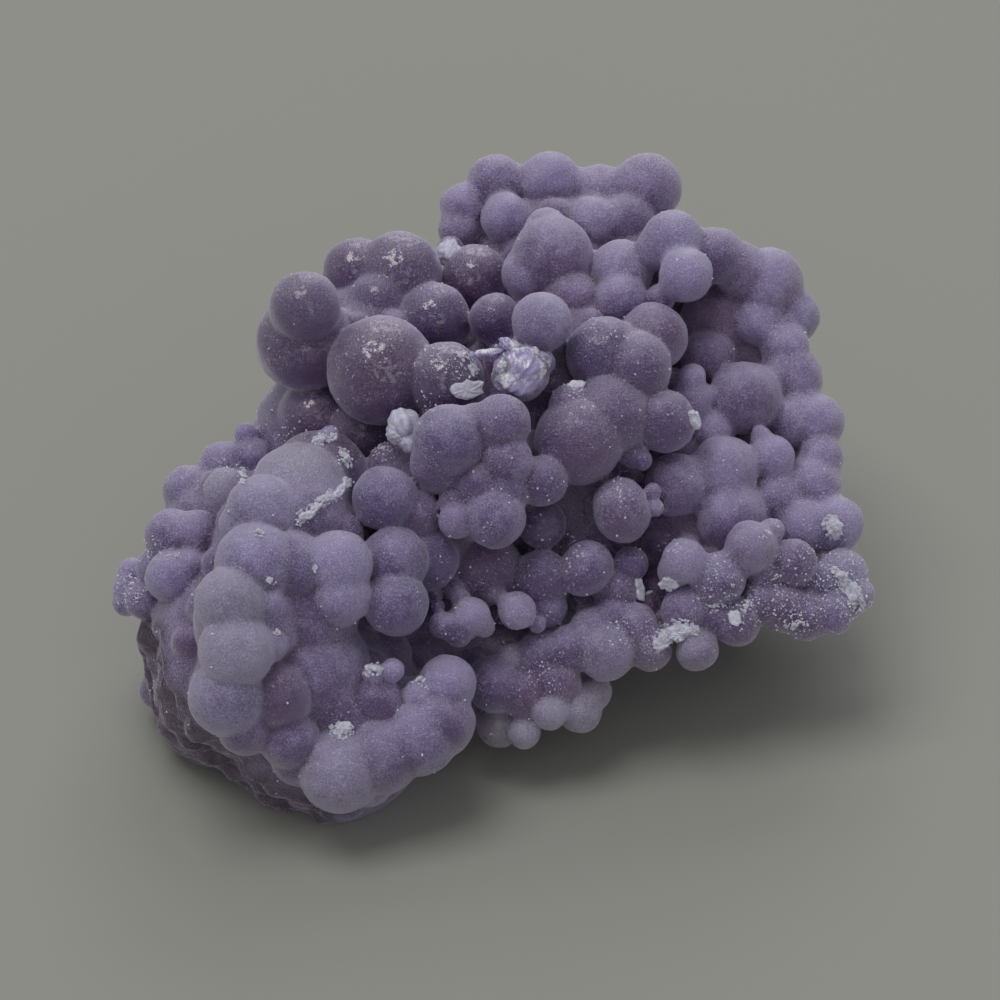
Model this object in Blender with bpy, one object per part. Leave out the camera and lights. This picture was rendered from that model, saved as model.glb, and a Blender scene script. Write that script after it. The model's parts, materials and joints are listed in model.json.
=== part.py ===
"""Botryoidal purple chalcedony: a broken lump of crust, grown over with round grapes of quartz.

The specimen is one solid. Its heart is a cluster of rounded lumps, broken off at the lower left and
flat underneath. The grapes that face the viewer are listed by hand, region by region, and the rest of
the crust, round the sides and the back, is spaced out by rule.

Sizes are in millimetres. +Z is up, and the origin is on the table, under the middle of the specimen.
"""

import math

import bmesh
import bpy
import numpy as np
from mathutils import Matrix, Vector

MM = 0.001

# The specimen is laid out on a facing plane through its middle, which leans back as the viewer looks down.
VIEW_ELEVATION = math.radians(35)
VIEW_DISTANCE = 280
TABLE_BELOW_MIDDLE = 19
ORIGIN_SHIFT = (0.26, -16.14)

# Surface of the finished solid.
VOXEL = 0.36
KEPT_FACES = 0.0535
HEART_VOXEL = 0.5
BASE_CUT_DEPTH = 12
BASE_CUT_WIDTH = 90

# A grape is (across, rise, near, radius) as it is seen: across and rise on the facing plane, and near
# towards the viewer from it.
UPPER_LEFT = [
    (-12.2, 12.05, -1.0, 2.25),
    (-12.2, 9.85, -3.5, 3.1),
    (-7.4, 8.1, -1.0, 3.45),
    (-3.4, 7.5, 0.5, 2.4),
    (-9.0, 14.3, -8.0, 2.1),
    (-6.3, 14.1, -7.5, 2.7),
    (-7.6, 12.4, -6.0, 1.9),
    (-4.1, 11.3, -5.5, 2.3),
    (-1.6, 13.9, -9.0, 2.1),
    (-3.1, 15.6, -10.5, 0.9),
    (-0.3, 11.3, -4.0, 1.65),
    (-11.5, 5.2, -5.0, 2.4),
    (-8.8, 4.2, -4.0, 2.2),
]
CREST = [
    (-0.3, 19.8, -13.5, 1.8),
    (3.1, 19.7, -13.5, 2.1),
    (6.2, 19.1, -13.5, 1.9),
    (9.2, 19.5, -13.0, 2.2),
    (-2.3, 18.3, -13.0, 1.5),
    (-2.6, 16.9, -12.5, 1.3),
    (0.4, 17.6, -11.5, 1.6),
    (5.8, 17.2, -11.5, 1.8),
    (8.0, 17.4, -11.5, 1.7),
    (2.9, 17.0, -6.8, 1.3),
    (3.3, 15.3, -6.0, 2.5),
    (1.7, 14.1, -6.0, 1.6),
    (4.4, 12.7, -5.0, 1.6),
    (7.6, 14.3, -6.0, 2.0),
    (6.0, 14.0, -7.0, 1.5),
    (10.8, 16.2, -5.0, 1.95),
    (9.7, 15.6, -5.2, 0.9),
    (11.6, 14.05, -3.0, 1.72),
    (13.4, 15.3, -6.0, 1.8),
    (7.6, 12.4, -4.5, 1.7),
]
RIGHT_SHOULDER = [
    (14.9, 14.5, -7.0, 1.7),
    (16.7, 13.5, -8.0, 2.3),
    (18.2, 11.5, -8.5, 1.8),
    (16.2, 11.3, -7.5, 1.6),
    (17.8, 9.6, -7.0, 1.5),
    (18.2, 7.7, -7.0, 2.0),
    (13.7, 11.2, -9.0, 2.5),
    (13.0, 8.9, -7.0, 1.7),
    (12.0, 7.7, -3.5, 0.85),
    (12.0, 6.4, -4.0, 1.3),
    (15.3, 6.4, -5.0, 2.3),
    (19.8, 4.9, -6.0, 1.75),
    (18.3, 5.0, -6.0, 1.7),
    (20.1, 2.7, -5.0, 1.4),
    (19.5, 0.9, -4.5, 1.9),
    (17.0, 2.7, -3.2, 1.4),
    (16.3, 4.0, -3.5, 0.65),
    (14.0, 1.9, -2.5, 2.15),
    (13.4, 4.4, -4.5, 1.3),
    (17.2, 0.2, -3.8, 1.8),
    (21.1, -1.5, -3.0, 1.7),
    (18.9, -1.6, -3.2, 1.7),
    (14.4, -1.1, -2.2, 2.3),
    (11.0, 1.0, -1.5, 1.95),
]
MIDDLE = [
    (2.6, 11.1, 1.0, 1.92),
    (1.3, 7.9, 2.0, 1.75),
    (2.8, 8.6, 1.6, 0.7),
    (1.2, 9.7, 1.2, 0.6),
    (0.2, 8.9, 1.2, 0.5),
    (6.5, 9.1, -0.8, 2.4),
    (8.5, 8.3, -0.2, 2.25),
    (9.6, 10.2, -2.2, 2.15),
    (6.9, 5.3, 0.6, 2.55),
    (4.9, 3.7, 1.5, 2.8),
    (4.4, 5.9, 1.3, 1.4),
    (10.3, 4.9, 0.2, 1.95),
    (8.2, 3.1, 0.5, 1.05),
    (8.9, 2.5, 1.0, 0.65),
    (7.5, -0.25, 1.6, 1.68),
    (7.65, -0.95, 1.6, 1.75),
    (9.55, 0.55, 1.2, 0.55),
    (9.75, -0.45, 1.2, 0.52),
    (2.6, -1.5, 0.5, 1.55),
    (-0.9, -4.3, 0.3, 2.3),
    (2.6, -4.9, 0.8, 1.8),
    (2.9, -6.7, 0.8, 1.3),
    (5.5, -4.1, 1.3, 1.6),
    (5.2, -4.6, 1.4, 1.45),
    (8.2, -4.0, 0.3, 1.1),
    (7.2, -5.5, 0.0, 1.5),
]
NEAR_CLUSTER = [
    (-3.2, 3.7, 4.2, 2.3),
    (-3.7, 2.35, 3.4, 1.95),
    (-2.8, 1.55, 3.6, 1.15),
    (0.1, 4.8, 4.2, 1.85),
    (-1.4, 4.6, 4.0, 1.5),
    (0.4, 2.6, 4.2, 1.6),
    (1.1, 2.1, 4.8, 0.85),
    (2.65, 1.2, 3.4, 1.6),
    (-1.2, 1.0, 4.0, 1.5),
    (0.4, 0.6, 4.0, 1.5),
    (-0.3, -1.1, 4.4, 1.95),
    (-2.7, -1.3, 4.4, 1.15),
    (-2.9, -0.1, 3.8, 0.95),
    (-7.2, 0.1, 4.2, 2.05),
    (-5.4, -0.9, 3.2, 1.7),
    (-6.6, -3.8, 5.0, 2.15),
    (-6.5, -6.5, 6.0, 2.05),
    (-4.6, -3.7, 2.8, 2.0),
]
LOBE = [
    (-12.6, 0.5, 2.4, 3.1),
    (-11.3, 1.2, -0.3, 3.2),
    (-11.2, 3.8, 1.0, 0.5),
    (-10.65, 4.1, 1.1, 0.6),
    (-17.1, 0.6, 1.4, 1.45),
    (-14.9, -0.7, 5.6, 2.3),
    (-16.3, -1.5, 5.6, 1.3),
    (-15.3, -4.0, 7.6, 2.6),
    (-12.9, -4.2, 6.6, 2.3),
    (-10.1, -4.0, 7.0, 2.15),
    (-9.9, -6.0, 7.0, 1.9),
    (-16.8, -6.4, 9.0, 2.3),
    (-14.6, -6.4, 8.6, 1.1),
    (-12.4, -7.0, 5.4, 1.8),
    (-16.5, -9.4, 9.4, 2.4),
    (-14.4, -9.1, 8.8, 1.1),
    (-17.0, -12.3, 8.4, 2.5),
    (-13.9, -12.2, 7.4, 2.2),
    (-15.9, -14.2, 7.4, 1.8),
    (-13.2, -14.9, 6.8, 1.9),
    (-11.2, -10.4, 5.0, 1.9),
    (-10.3, -12.7, 5.4, 1.9),
    (-9.4, -10.6, 5.8, 0.9),
    (-7.9, -10.9, 6.4, 0.7),
    (-6.7, -10.6, 6.4, 0.75),
    (-7.6, -12.6, 5.6, 1.6),
    (-5.0, -12.2, 5.8, 1.1),
    (-3.3, -11.5, 5.2, 1.85),
    (-3.8, -13.9, 5.4, 2.25),
    (-5.0, -14.9, 5.8, 2.35),
    (-7.4, -16.0, 6.0, 2.4),
    (-10.0, -17.0, 6.4, 2.6),
    (-8.2, -17.6, 5.0, 1.6),
    (-12.6, -16.2, 5.6, 1.7),
]
LEFT_EDGE = [
    (-20.5, -2.3, 0.3, 1.75),
    (-18.9, -2.2, 0.8, 1.6),
    (-20.6, -4.8, 2.2, 1.6),
    (-19.3, -4.4, 1.8, 1.4),
    (-21.8, -4.2, 0.4, 1.0),
    (-23.0, -4.5, -0.6, 0.9),
    (-23.2, -5.5, -0.6, 1.0),
    (-23.3, -6.4, -0.6, 0.9),
    (-22.2, -6.2, 0.2, 1.3),
    (-17.3, 2.1, -5.0, 1.6),
    (-19.4, 0.5, -4.5, 1.7),
    (-15.6, 2.6, -5.2, 1.3),
    (-15.9, 4.15, -5.2, 0.7),
]
SHELF = [
    (11.5, -3.8, 1.7, 1.45),
    (10.8, -4.5, 1.2, 0.9),
    (13.7, -4.9, 1.0, 1.7),
    (15.7, -2.9, 1.2, 1.65),
    (17.0, -1.9, 0.6, 0.8),
    (18.3, -3.9, 0.2, 1.5),
    (16.6, -4.4, 0.2, 1.2),
    (21.4, -4.6, -1.6, 1.6),
    (19.9, -5.2, -0.8, 1.2),
    (22.5, -5.9, -0.8, 0.95),
    (22.0, -6.5, -0.6, 0.8),
    (11.6, -6.9, 0.6, 1.6),
    (13.2, -7.3, 0.4, 1.3),
    (14.8, -7.7, 0.6, 1.5),
    (16.4, -6.3, 0.0, 1.4),
    (17.6, -6.8, 0.2, 1.5),
    (19.1, -7.2, -0.2, 1.6),
    (20.8, -7.1, -0.4, 1.4),
    (12.3, -9.35, 1.2, 1.35),
    (9.4, -9.4, 0.8, 1.35),
    (8.4, -7.9, 0.6, 1.5),
    (6.6, -9.5, 1.2, 1.85),
    (5.6, -7.9, 0.8, 1.2),
    (4.4, -9.2, 1.2, 1.4),
    (2.6, -9.7, 0.8, 1.6),
    (0.8, -9.9, 0.8, 0.95),
    (3.4, -11.3, 0.9, 1.7),
    (1.6, -12.1, 0.9, 1.6),
    (-0.3, -11.5, 1.0, 1.8),
    (3.15, -13.35, 2.0, 1.05),
    (1.55, -14.55, 1.0, 1.02),
    (-0.1, -14.1, -0.4, 1.4),
    (5.0, -13.2, 0.6, 1.38),
    (5.9, -12.0, -0.2, 1.15),
    (1.05, -6.9, 3.0, 1.22),
    (-1.75, -7.25, 4.0, 1.2),
    (-3.6, -7.8, 4.2, 0.85),
    (-2.6, -8.4, 4.0, 0.85),
    (-1.0, -7.9, 3.6, 0.7),
    (2.35, -7.8, 2.2, 0.55),
    (7.0, -7.2, 0.6, 1.2),
]
# Opaque white crumbs that grew on the grapes: a knob, flakes and a ragged patch of crust.
CRUMBS = [
    (-6.0, 4.75, 2.5, 1.02),
    (-5.7, 3.75, 2.5, 0.82),
    (-6.4, 4.25, 2.5, 0.75),
    (-2.6, 6.8, 2.7, 0.55),
    (-1.7, 7.1, 2.6, 0.5),
    (-10.0, -14.4, 8.0, 0.75),
    (8.6, -5.6, 1.1, 0.5),
    (10.3, -8.7, 1.7, 0.6),
    (11.3, -8.4, 1.7, 0.6),
    (12.0, -8.2, 1.5, 0.45),
]
SEEN_GRAPES = (
    UPPER_LEFT + CREST + RIGHT_SHOULDER + MIDDLE + NEAR_CLUSTER + LOBE + LEFT_EDGE + SHELF + CRUMBS
)

# The heart of the specimen: lumps as (across, rise, near, radius), each under the grapes it carries.
HEART = [
    (-13.0, -4.0, 1.5, 5.2),
    (-15.0, -10.0, -1.5, 7.8),
    (-11.5, -13.5, -1.0, 7.2),
    (-17.0, -2.0, -5.0, 4.2),
    (-5.0, -2.0, -2.5, 5.5),
    (-11.0, 4.0, -8.0, 4.5),
    (-8.0, 9.0, -8.0, 4.8),
    (3.0, 0.0, -6.5, 6.3),
    (4.0, 7.0, -8.0, 6.5),
    (12.0, -1.5, -7.5, 5.8),
    (17.5, -2.5, -7.5, 4.8),
    (14.0, 8.0, -12.5, 5.2),
    (3.5, 14.5, -14.5, 5.0),
    (9.0, 13.5, -14.0, 4.8),
    (-6.0, -6.6, -7.2, 8.0),
    (2.0, -2.0, -13.0, 9.0),
    (7.0, 1.0, -14.0, 8.5),
]

# Broken faces at the lower left, as (outward direction, a point on the face), in the same terms. Their
# roughness is a few waves and a run of small steps, one for each layer that broke away.
BROKEN_FACES = [
    ((-0.93, -0.24, 0.28), (-21.3, -12.0, 0.0)),
    ((-0.55, -0.78, 0.295), (-15.3, -18.4, -0.85)),
]
BROKEN_WAVES = [
    (0.9, 0.35, 0.30, 0.4),
    (-0.5, 1.15, 0.22, 2.1),
    (1.9, -1.2, 0.16, 4.0),
    (2.6, 2.3, 0.10, 1.3),
]
LAYER_THICKNESS = 1.3
LAYER_STEP = 0.35
BROKEN_PLATE = 36
BROKEN_PLATE_CELLS = 60
BROKEN_PLATE_DEPTH = 14

# The crust that the view does not show.
SEED = 11
CANDIDATES_PER_MM2 = 1.6
HIDDEN_RADIUS = (1.0, 3.1)
HIDDEN_SINK = -0.05
FILLER_RADIUS = (0.8, 1.5)
FILLER_SINK = 0.5
SIZE_SKEW = 1.8
SPACING = 0.88
TABLE_CLEARANCE = 0.9
CLEAR_OF_BREAK = 1.0
STEEPEST_UNDERSIDE = -0.72
STEM_SHARE = 0.62
STEM_BALLS = 6


def view_axes():
    """Across, rise and near as unit vectors, for a viewer who looks along +Y and down."""
    sine, cosine = math.sin(VIEW_ELEVATION), math.cos(VIEW_ELEVATION)
    return np.array([(1, 0, 0), (0, sine, cosine), (0, -cosine, sine)])


def middle():
    """The middle of the facing plane, which meets the table below it."""
    foot = np.array([ORIGIN_SHIFT[0], ORIGIN_SHIFT[1], 0.0])
    return foot + TABLE_BELOW_MIDDLE * view_axes()[1]


def placed(rows):
    """Centres and radii of balls given as they are seen: what stands nearer is smaller than it looks."""
    rows = np.array(rows, float)
    shrink = (VIEW_DISTANCE - rows[:, 2:3]) / VIEW_DISTANCE
    offsets = np.hstack((rows[:, :2] * shrink, rows[:, 2:3]))
    return middle() + offsets @ view_axes(), rows[:, 3] * shrink[:, 0]


def as_seen(points):
    """Where points appear: across and rise on the facing plane, and how near they are."""
    offsets = (points - middle()) @ view_axes().T
    shrink = (VIEW_DISTANCE - offsets[:, 2:3]) / VIEW_DISTANCE
    return np.hstack((offsets[:, :2] / shrink, offsets[:, 2:3]))


def broken_frames():
    """The broken faces as (point, level direction, downhill direction, outward direction)."""
    frames = []
    for direction, point in BROKEN_FACES:
        outward = np.array(direction) @ view_axes()
        outward = outward / np.linalg.norm(outward)
        level = np.cross((0, 0, 1), outward)
        level = level / np.linalg.norm(level)
        place = middle() + np.array(point) @ view_axes()
        frames.append((place, level, np.cross(level, outward), outward))
    return frames


def roughness(along, down):
    """How far a broken face stands out at a place on it, in mm."""
    height = np.zeros_like(along)
    for wave_along, wave_down, size, start in BROKEN_WAVES:
        height += size * np.sin(wave_along * along + wave_down * down + start)
    layer = (down + 0.5 * np.sin(0.7 * along)) / LAYER_THICKNESS
    return height + LAYER_STEP * (layer - np.floor(layer) - 0.5)


def spiral(count):
    """Directions spread evenly over a sphere, on a golden-angle spiral from top to bottom."""
    step = np.arange(count) + 0.5
    height = 1 - 2 * step / count
    turn = step * math.pi * (3 - math.sqrt(5))
    ring = np.sqrt(1 - height**2)
    return np.stack((ring * np.cos(turn), ring * np.sin(turn), height), axis=1)


def gaps_to(points, centres, radii):
    """Distance from each point to each ball's surface; inside a ball it is negative."""
    return np.linalg.norm(points[:, None] - centres, axis=2) - radii


def behind_outline(centres, radii):
    """Which balls stay within the outline of the grapes and lumps, as the viewer sees them."""
    discs = np.array(SEEN_GRAPES + HEART, float)
    turns = np.linspace(0, 2 * math.pi, 12, endpoint=False)
    circle = np.stack((np.cos(turns), np.sin(turns)), axis=1)
    rims = as_seen(centres)[:, None, :2] + radii[:, None, None] * circle
    gaps = np.linalg.norm(rims[:, :, None] - discs[:, :2], axis=3) - discs[:, 3]
    return (gaps.min(axis=2) < 0).all(axis=1)


def candidates(lumps, lump_radii):
    """Places for grapes on the outside of the heart, largest grapes first: centres and radii."""
    random = np.random.default_rng(SEED)
    eye = middle() + VIEW_DISTANCE * view_axes()[2]
    counts = (4 * math.pi * lump_radii**2 * CANDIDATES_PER_MM2).astype(int)
    outward = np.vstack([spiral(count) for count in counts])
    surface = np.repeat(lumps, counts, axis=0) + outward * np.repeat(lump_radii, counts)[:, None]
    toward = eye - surface
    facing = (outward * toward).sum(axis=1) / np.linalg.norm(toward, axis=1) > 0.1
    smallest = np.where(facing, FILLER_RADIUS[0], HIDDEN_RADIUS[0])
    largest = np.where(facing, FILLER_RADIUS[1], HIDDEN_RADIUS[1])
    sink = np.where(facing, FILLER_SINK, HIDDEN_SINK)
    radii = smallest + (largest - smallest) * random.uniform(0, 1, len(surface)) ** SIZE_SKEW
    centres = surface - outward * (radii * sink)[:, None]

    good = gaps_to(surface, lumps, lump_radii).min(axis=1) > -0.05
    good &= centres[:, 2] - radii > -TABLE_CLEARANCE * radii
    good &= centres[:, 2] > TABLE_CLEARANCE
    good &= outward[:, 2] > STEEPEST_UNDERSIDE
    for place, _, _, direction in broken_frames():
        good &= (surface - place) @ direction < -CLEAR_OF_BREAK
    good &= behind_outline(centres, radii)
    order = np.argsort(-radii[good])
    return centres[good][order], radii[good][order]


def hidden_grapes(centres, radii, lumps, lump_radii):
    """Grapes for the sides and the back, and small ones for the gaps of the side that is seen.

    A place is taken if no grape that is there already crowds it.
    """
    first_new = len(centres)
    for centre, radius in zip(*candidates(lumps, lump_radii)):
        gaps = np.linalg.norm(centres - centre, axis=1)
        if (gaps > SPACING * (radii + radius)).all():
            centres = np.vstack((centres, centre))
            radii = np.append(radii, radius)
    return centres[first_new:], radii[first_new:]


def stems(centres, radii, lumps, lump_radii):
    """Strings of small balls that tie the grapes which stand clear of the heart to its nearest lump."""
    gaps = gaps_to(centres, lumps, lump_radii)
    nearest = gaps.argmin(axis=1)
    gap = gaps.min(axis=1)
    loose = gap > -0.3 * radii
    start, inward = centres[loose], lumps[nearest[loose]] - centres[loose]
    inward = inward / np.linalg.norm(inward, axis=1)[:, None]
    share = np.linspace(0, 1, STEM_BALLS)
    reach = (gap[loose] + 1.0)[:, None] * share
    links = start[:, None] + inward[:, None] * reach[:, :, None]
    thick = (radii[loose] * STEM_SHARE)[:, None] * (1 + 0.3 * share)
    return links.reshape(-1, 3), thick.ravel()


def ball_mesh(name, centres, radii, detail):
    """One mesh of round balls, finer where detail is higher."""
    pattern = bmesh.new()
    bmesh.ops.create_icosphere(pattern, subdivisions=detail, radius=1)
    points = np.array([corner.co for corner in pattern.verts])
    faces = np.array([[corner.index for corner in face.verts] for face in pattern.faces])
    pattern.free()
    corners = centres[:, None] + radii[:, None, None] * points
    offsets = np.arange(len(centres))[:, None, None] * len(points)
    data = bpy.data.meshes.new(name)
    data.from_pydata((corners.reshape(-1, 3) * MM).tolist(), [], (faces + offsets).reshape(-1, 3).tolist())
    return data


def in_scene(name, data):
    """An object that shows the mesh, at the origin."""
    item = bpy.data.objects.new(name, data)
    bpy.context.scene.collection.objects.link(item)
    return item


def cutter(name, data):
    """An object that only cuts: it is not drawn in a picture."""
    item = in_scene(name, data)
    item.hide_render = True
    item.display_type = "WIRE"
    return item


def broken_cutter(name, frame):
    """A block whose inner side is the rough shape of a broken face."""
    place, level, downhill, outward = frame
    spread = np.linspace(-BROKEN_PLATE / 2, BROKEN_PLATE / 2, BROKEN_PLATE_CELLS + 1)
    along, down = (grid.ravel() for grid in np.meshgrid(spread, spread, indexing="ij"))
    rough = place + np.outer(along, level) + np.outer(down, downhill)
    rough = rough + np.outer(roughness(along, down), outward)
    mesh = bmesh.new()
    corners = [mesh.verts.new(point) for point in (rough * MM).tolist()]
    row = BROKEN_PLATE_CELLS + 1
    for i in range(BROKEN_PLATE_CELLS):
        for j in range(BROKEN_PLATE_CELLS):
            first = i * row + j
            mesh.faces.new([corners[k] for k in (first, first + 1, first + row + 1, first + row)])
    grown = bmesh.ops.extrude_face_region(mesh, geom=mesh.faces[:])["geom"]
    far = [item for item in grown if isinstance(item, bmesh.types.BMVert)]
    bmesh.ops.translate(mesh, vec=Vector(outward) * BROKEN_PLATE_DEPTH * MM, verts=far)
    bmesh.ops.recalc_face_normals(mesh, faces=mesh.faces[:])
    data = bpy.data.meshes.new(name)
    mesh.to_mesh(data)
    mesh.free()
    return cutter(name, data)


def base_cutter():
    """A block below the table's level, which leaves the face that the specimen rests on."""
    mesh = bmesh.new()
    size = Matrix.Diagonal((BASE_CUT_WIDTH * MM, BASE_CUT_WIDTH * MM, BASE_CUT_DEPTH * MM, 1))
    drop = Matrix.Translation((0, 0, -BASE_CUT_DEPTH * MM / 2))
    bmesh.ops.create_cube(mesh, size=1, matrix=drop @ size)
    data = bpy.data.meshes.new("base_cutter")
    mesh.to_mesh(data)
    mesh.free()
    return cutter("base_cutter", data)


def add_cut(item, name, tool):
    """Takes the tool's shape away from the item."""
    cut = item.modifiers.new(name, "BOOLEAN")
    cut.object = tool
    cut.operation = "DIFFERENCE"
    cut.solver = "EXACT"


def add_skin(item, voxel):
    """Fuses everything in the item into one closed skin."""
    skin = item.modifiers.new("one skin", "REMESH")
    skin.mode = "VOXEL"
    skin.voxel_size = voxel * MM


def broken_heart(lumps, lump_radii):
    """The heart as one mesh, with its broken faces."""
    heart = in_scene("heart", ball_mesh("heart", lumps, lump_radii, 5))
    add_skin(heart, HEART_VOXEL)
    tools = []
    for index, frame in enumerate(broken_frames()):
        tools.append(broken_cutter(f"break_{index}", frame))
        add_cut(heart, f"break {index}", tools[-1])
    graph = bpy.context.evaluated_depsgraph_get()
    data = bpy.data.meshes.new_from_object(heart.evaluated_get(graph))
    for item in [heart] + tools:
        bpy.data.objects.remove(item)
    return data


def chalcedony_material():
    """Translucent mauve quartz with a frosted skin."""
    material = bpy.data.materials.new("mauve_chalcedony")
    material.use_nodes = True
    shader = material.node_tree.nodes["Principled BSDF"]
    shader.inputs["Base Color"].default_value = (0.32, 0.24, 0.36, 1)
    shader.inputs["Roughness"].default_value = 0.5
    shader.inputs["Metallic"].default_value = 0.0
    return material


def chalcedony():
    """The specimen: heart, stems and grapes, grown into one skin and cut flat underneath."""
    centres, radii = placed(SEEN_GRAPES)
    lumps, lump_radii = placed(HEART)
    more, more_radii = hidden_grapes(centres, radii, lumps, lump_radii)
    centres, radii = np.vstack((centres, more)), np.append(radii, more_radii)
    links, link_radii = stems(centres, radii, lumps, lump_radii)

    mesh = bmesh.new()
    for data in (
        broken_heart(lumps, lump_radii),
        ball_mesh("grapes", centres, radii, 4),
        ball_mesh("stems", links, link_radii, 2),
    ):
        mesh.from_mesh(data)
        bpy.data.meshes.remove(data)
    data = bpy.data.meshes.new("chalcedony")
    mesh.to_mesh(data)
    mesh.free()
    data.materials.clear()
    data.materials.append(chalcedony_material())
    specimen = in_scene("chalcedony", data)
    add_skin(specimen, VOXEL)
    facets = specimen.modifiers.new("facets", "DECIMATE")
    facets.ratio = KEPT_FACES
    add_cut(specimen, "flat base", base_cutter())
    return specimen


def main():
    """Clears the scene and builds the specimen."""
    for leftover in list(bpy.data.objects):
        bpy.data.objects.remove(leftover)
    chalcedony()


main()
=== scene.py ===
"""Botryoidal purple chalcedony: the dressed model of a broken lump of crust, grown over with grapes.

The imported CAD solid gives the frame. Its one node is replaced by a fine skin, worked out as a distance
field of the same balls, with white crumbs of crust and fine sugar crystals grown on it. Sizes are in
millimetres up to the point where a mesh is made, and the specimen stands on the table at z = 0.
"""

import json
import logging
import math
from dataclasses import dataclass, field
from enum import Enum
from itertools import combinations
from typing import Any, Iterable, Sequence

import bpy
import numpy as np
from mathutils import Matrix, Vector

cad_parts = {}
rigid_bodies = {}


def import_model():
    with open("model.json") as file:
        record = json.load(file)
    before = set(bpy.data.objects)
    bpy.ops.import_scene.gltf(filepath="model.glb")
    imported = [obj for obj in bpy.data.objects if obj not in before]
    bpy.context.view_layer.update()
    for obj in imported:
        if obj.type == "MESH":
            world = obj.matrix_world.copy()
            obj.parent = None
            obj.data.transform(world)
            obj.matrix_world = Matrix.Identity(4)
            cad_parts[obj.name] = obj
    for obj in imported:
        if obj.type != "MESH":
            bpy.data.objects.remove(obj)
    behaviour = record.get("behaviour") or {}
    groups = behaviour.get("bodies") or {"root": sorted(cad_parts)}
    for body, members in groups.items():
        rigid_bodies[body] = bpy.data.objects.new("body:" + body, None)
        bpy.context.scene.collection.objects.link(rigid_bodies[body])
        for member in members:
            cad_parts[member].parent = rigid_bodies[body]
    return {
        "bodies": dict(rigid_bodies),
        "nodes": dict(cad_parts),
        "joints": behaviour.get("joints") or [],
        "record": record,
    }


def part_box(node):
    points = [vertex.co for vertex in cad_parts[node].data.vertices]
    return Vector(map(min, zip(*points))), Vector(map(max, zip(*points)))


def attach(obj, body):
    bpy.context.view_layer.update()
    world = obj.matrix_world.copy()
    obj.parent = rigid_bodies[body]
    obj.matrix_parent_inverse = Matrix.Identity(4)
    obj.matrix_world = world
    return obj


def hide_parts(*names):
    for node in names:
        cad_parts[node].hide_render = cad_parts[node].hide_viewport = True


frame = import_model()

log = logging.getLogger("chalcedony")

MM = 0.001
CAD_NODE = "chalcedony"

# A grape is (across, rise, near, radius) as it is seen: across and rise on the facing plane, and near
# towards the viewer from it.
UPPER_LEFT = [
    (-12.2, 12.05, -1, 2.25), (-12.2, 9.85, -3.5, 3.1), (-7.4, 8.1, -1, 3.45), (-3.4, 7.5, 0.5, 2.4),
    (-9, 14.3, -8, 2.1), (-6.3, 14.1, -7.5, 2.7), (-7.6, 12.4, -6, 1.9), (-4.1, 11.3, -5.5, 2.3),
    (-1.6, 13.9, -9, 2.1), (-3.1, 15.6, -10.5, 0.9), (-0.3, 11.3, -4, 1.65), (-11.5, 5.2, -5, 2.4),
    (-8.8, 4.2, -4, 2.2),
]
CREST = [
    (-0.3, 19.8, -13.5, 1.8), (3.1, 19.7, -13.5, 2.1), (6.2, 19.1, -13.5, 1.9), (9.2, 19.5, -13, 2.2),
    (-2.3, 18.3, -13, 1.5), (-2.6, 16.9, -12.5, 1.3), (0.4, 17.6, -11.5, 1.6), (5.8, 17.2, -11.5, 1.8),
    (8, 17.4, -11.5, 1.7), (2.9, 17, -6.8, 1.3), (3.3, 15.3, -6, 2.5), (1.7, 14.1, -6, 1.6),
    (4.4, 12.7, -5, 1.6), (7.6, 14.3, -6, 2), (6, 14, -7, 1.5), (10.8, 16.2, -5, 1.95),
    (9.7, 15.6, -5.2, 0.9), (11.6, 14.05, -3, 1.72), (13.4, 15.3, -6, 1.8), (7.6, 12.4, -4.5, 1.7),
]
RIGHT_SHOULDER = [
    (14.9, 14.5, -7, 1.7), (16.7, 13.5, -8, 2.3), (18.2, 11.5, -8.5, 1.8), (16.2, 11.3, -7.5, 1.6),
    (17.8, 9.6, -7, 1.5), (18.2, 7.7, -7, 2), (13.7, 11.2, -9, 2.5), (13, 8.9, -7, 1.7),
    (12, 7.7, -3.5, 0.85), (12, 6.4, -4, 1.3), (15.3, 6.4, -5, 2.3), (19.8, 4.9, -6, 1.75),
    (18.3, 5, -6, 1.7), (20.1, 2.7, -5, 1.4), (19.5, 0.9, -4.5, 1.9), (17, 2.7, -3.2, 1.4),
    (16.3, 4, -3.5, 0.65), (14, 1.9, -2.5, 2.15), (13.4, 4.4, -4.5, 1.3), (17.2, 0.2, -3.8, 1.8),
    (21.1, -1.5, -3, 1.7), (18.9, -1.6, -3.2, 1.7), (14.4, -1.1, -2.2, 2.3), (11, 1, -1.5, 1.95),
]
MIDDLE = [
    (2.6, 11.1, 1, 1.92), (1.3, 7.9, 2, 1.75), (2.8, 8.6, 1.6, 0.7), (1.2, 9.7, 1.2, 0.6),
    (0.2, 8.9, 1.2, 0.5), (6.5, 9.1, -0.8, 2.4), (8.5, 8.3, -0.2, 2.25), (9.6, 10.2, -2.2, 2.15),
    (6.9, 5.3, 0.6, 2.55), (4.9, 3.7, 1.5, 2.8), (4.4, 5.9, 1.3, 1.4), (10.3, 4.9, 0.2, 1.95),
    (8.2, 3.1, 0.5, 1.05), (8.9, 2.5, 1, 0.65), (7.5, -0.25, 1.6, 1.68), (7.65, -0.95, 1.6, 1.75),
    (9.55, 0.55, 1.2, 0.55), (9.75, -0.45, 1.2, 0.52), (2.6, -1.5, 0.5, 1.55), (-0.9, -4.3, 0.3, 2.3),
    (2.6, -4.9, 0.8, 1.8), (2.9, -6.7, 0.8, 1.3), (5.5, -4.1, 1.3, 1.6), (5.2, -4.6, 1.4, 1.45),
    (8.2, -4, 0.3, 1.1), (7.2, -5.5, 0, 1.5),
]
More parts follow.
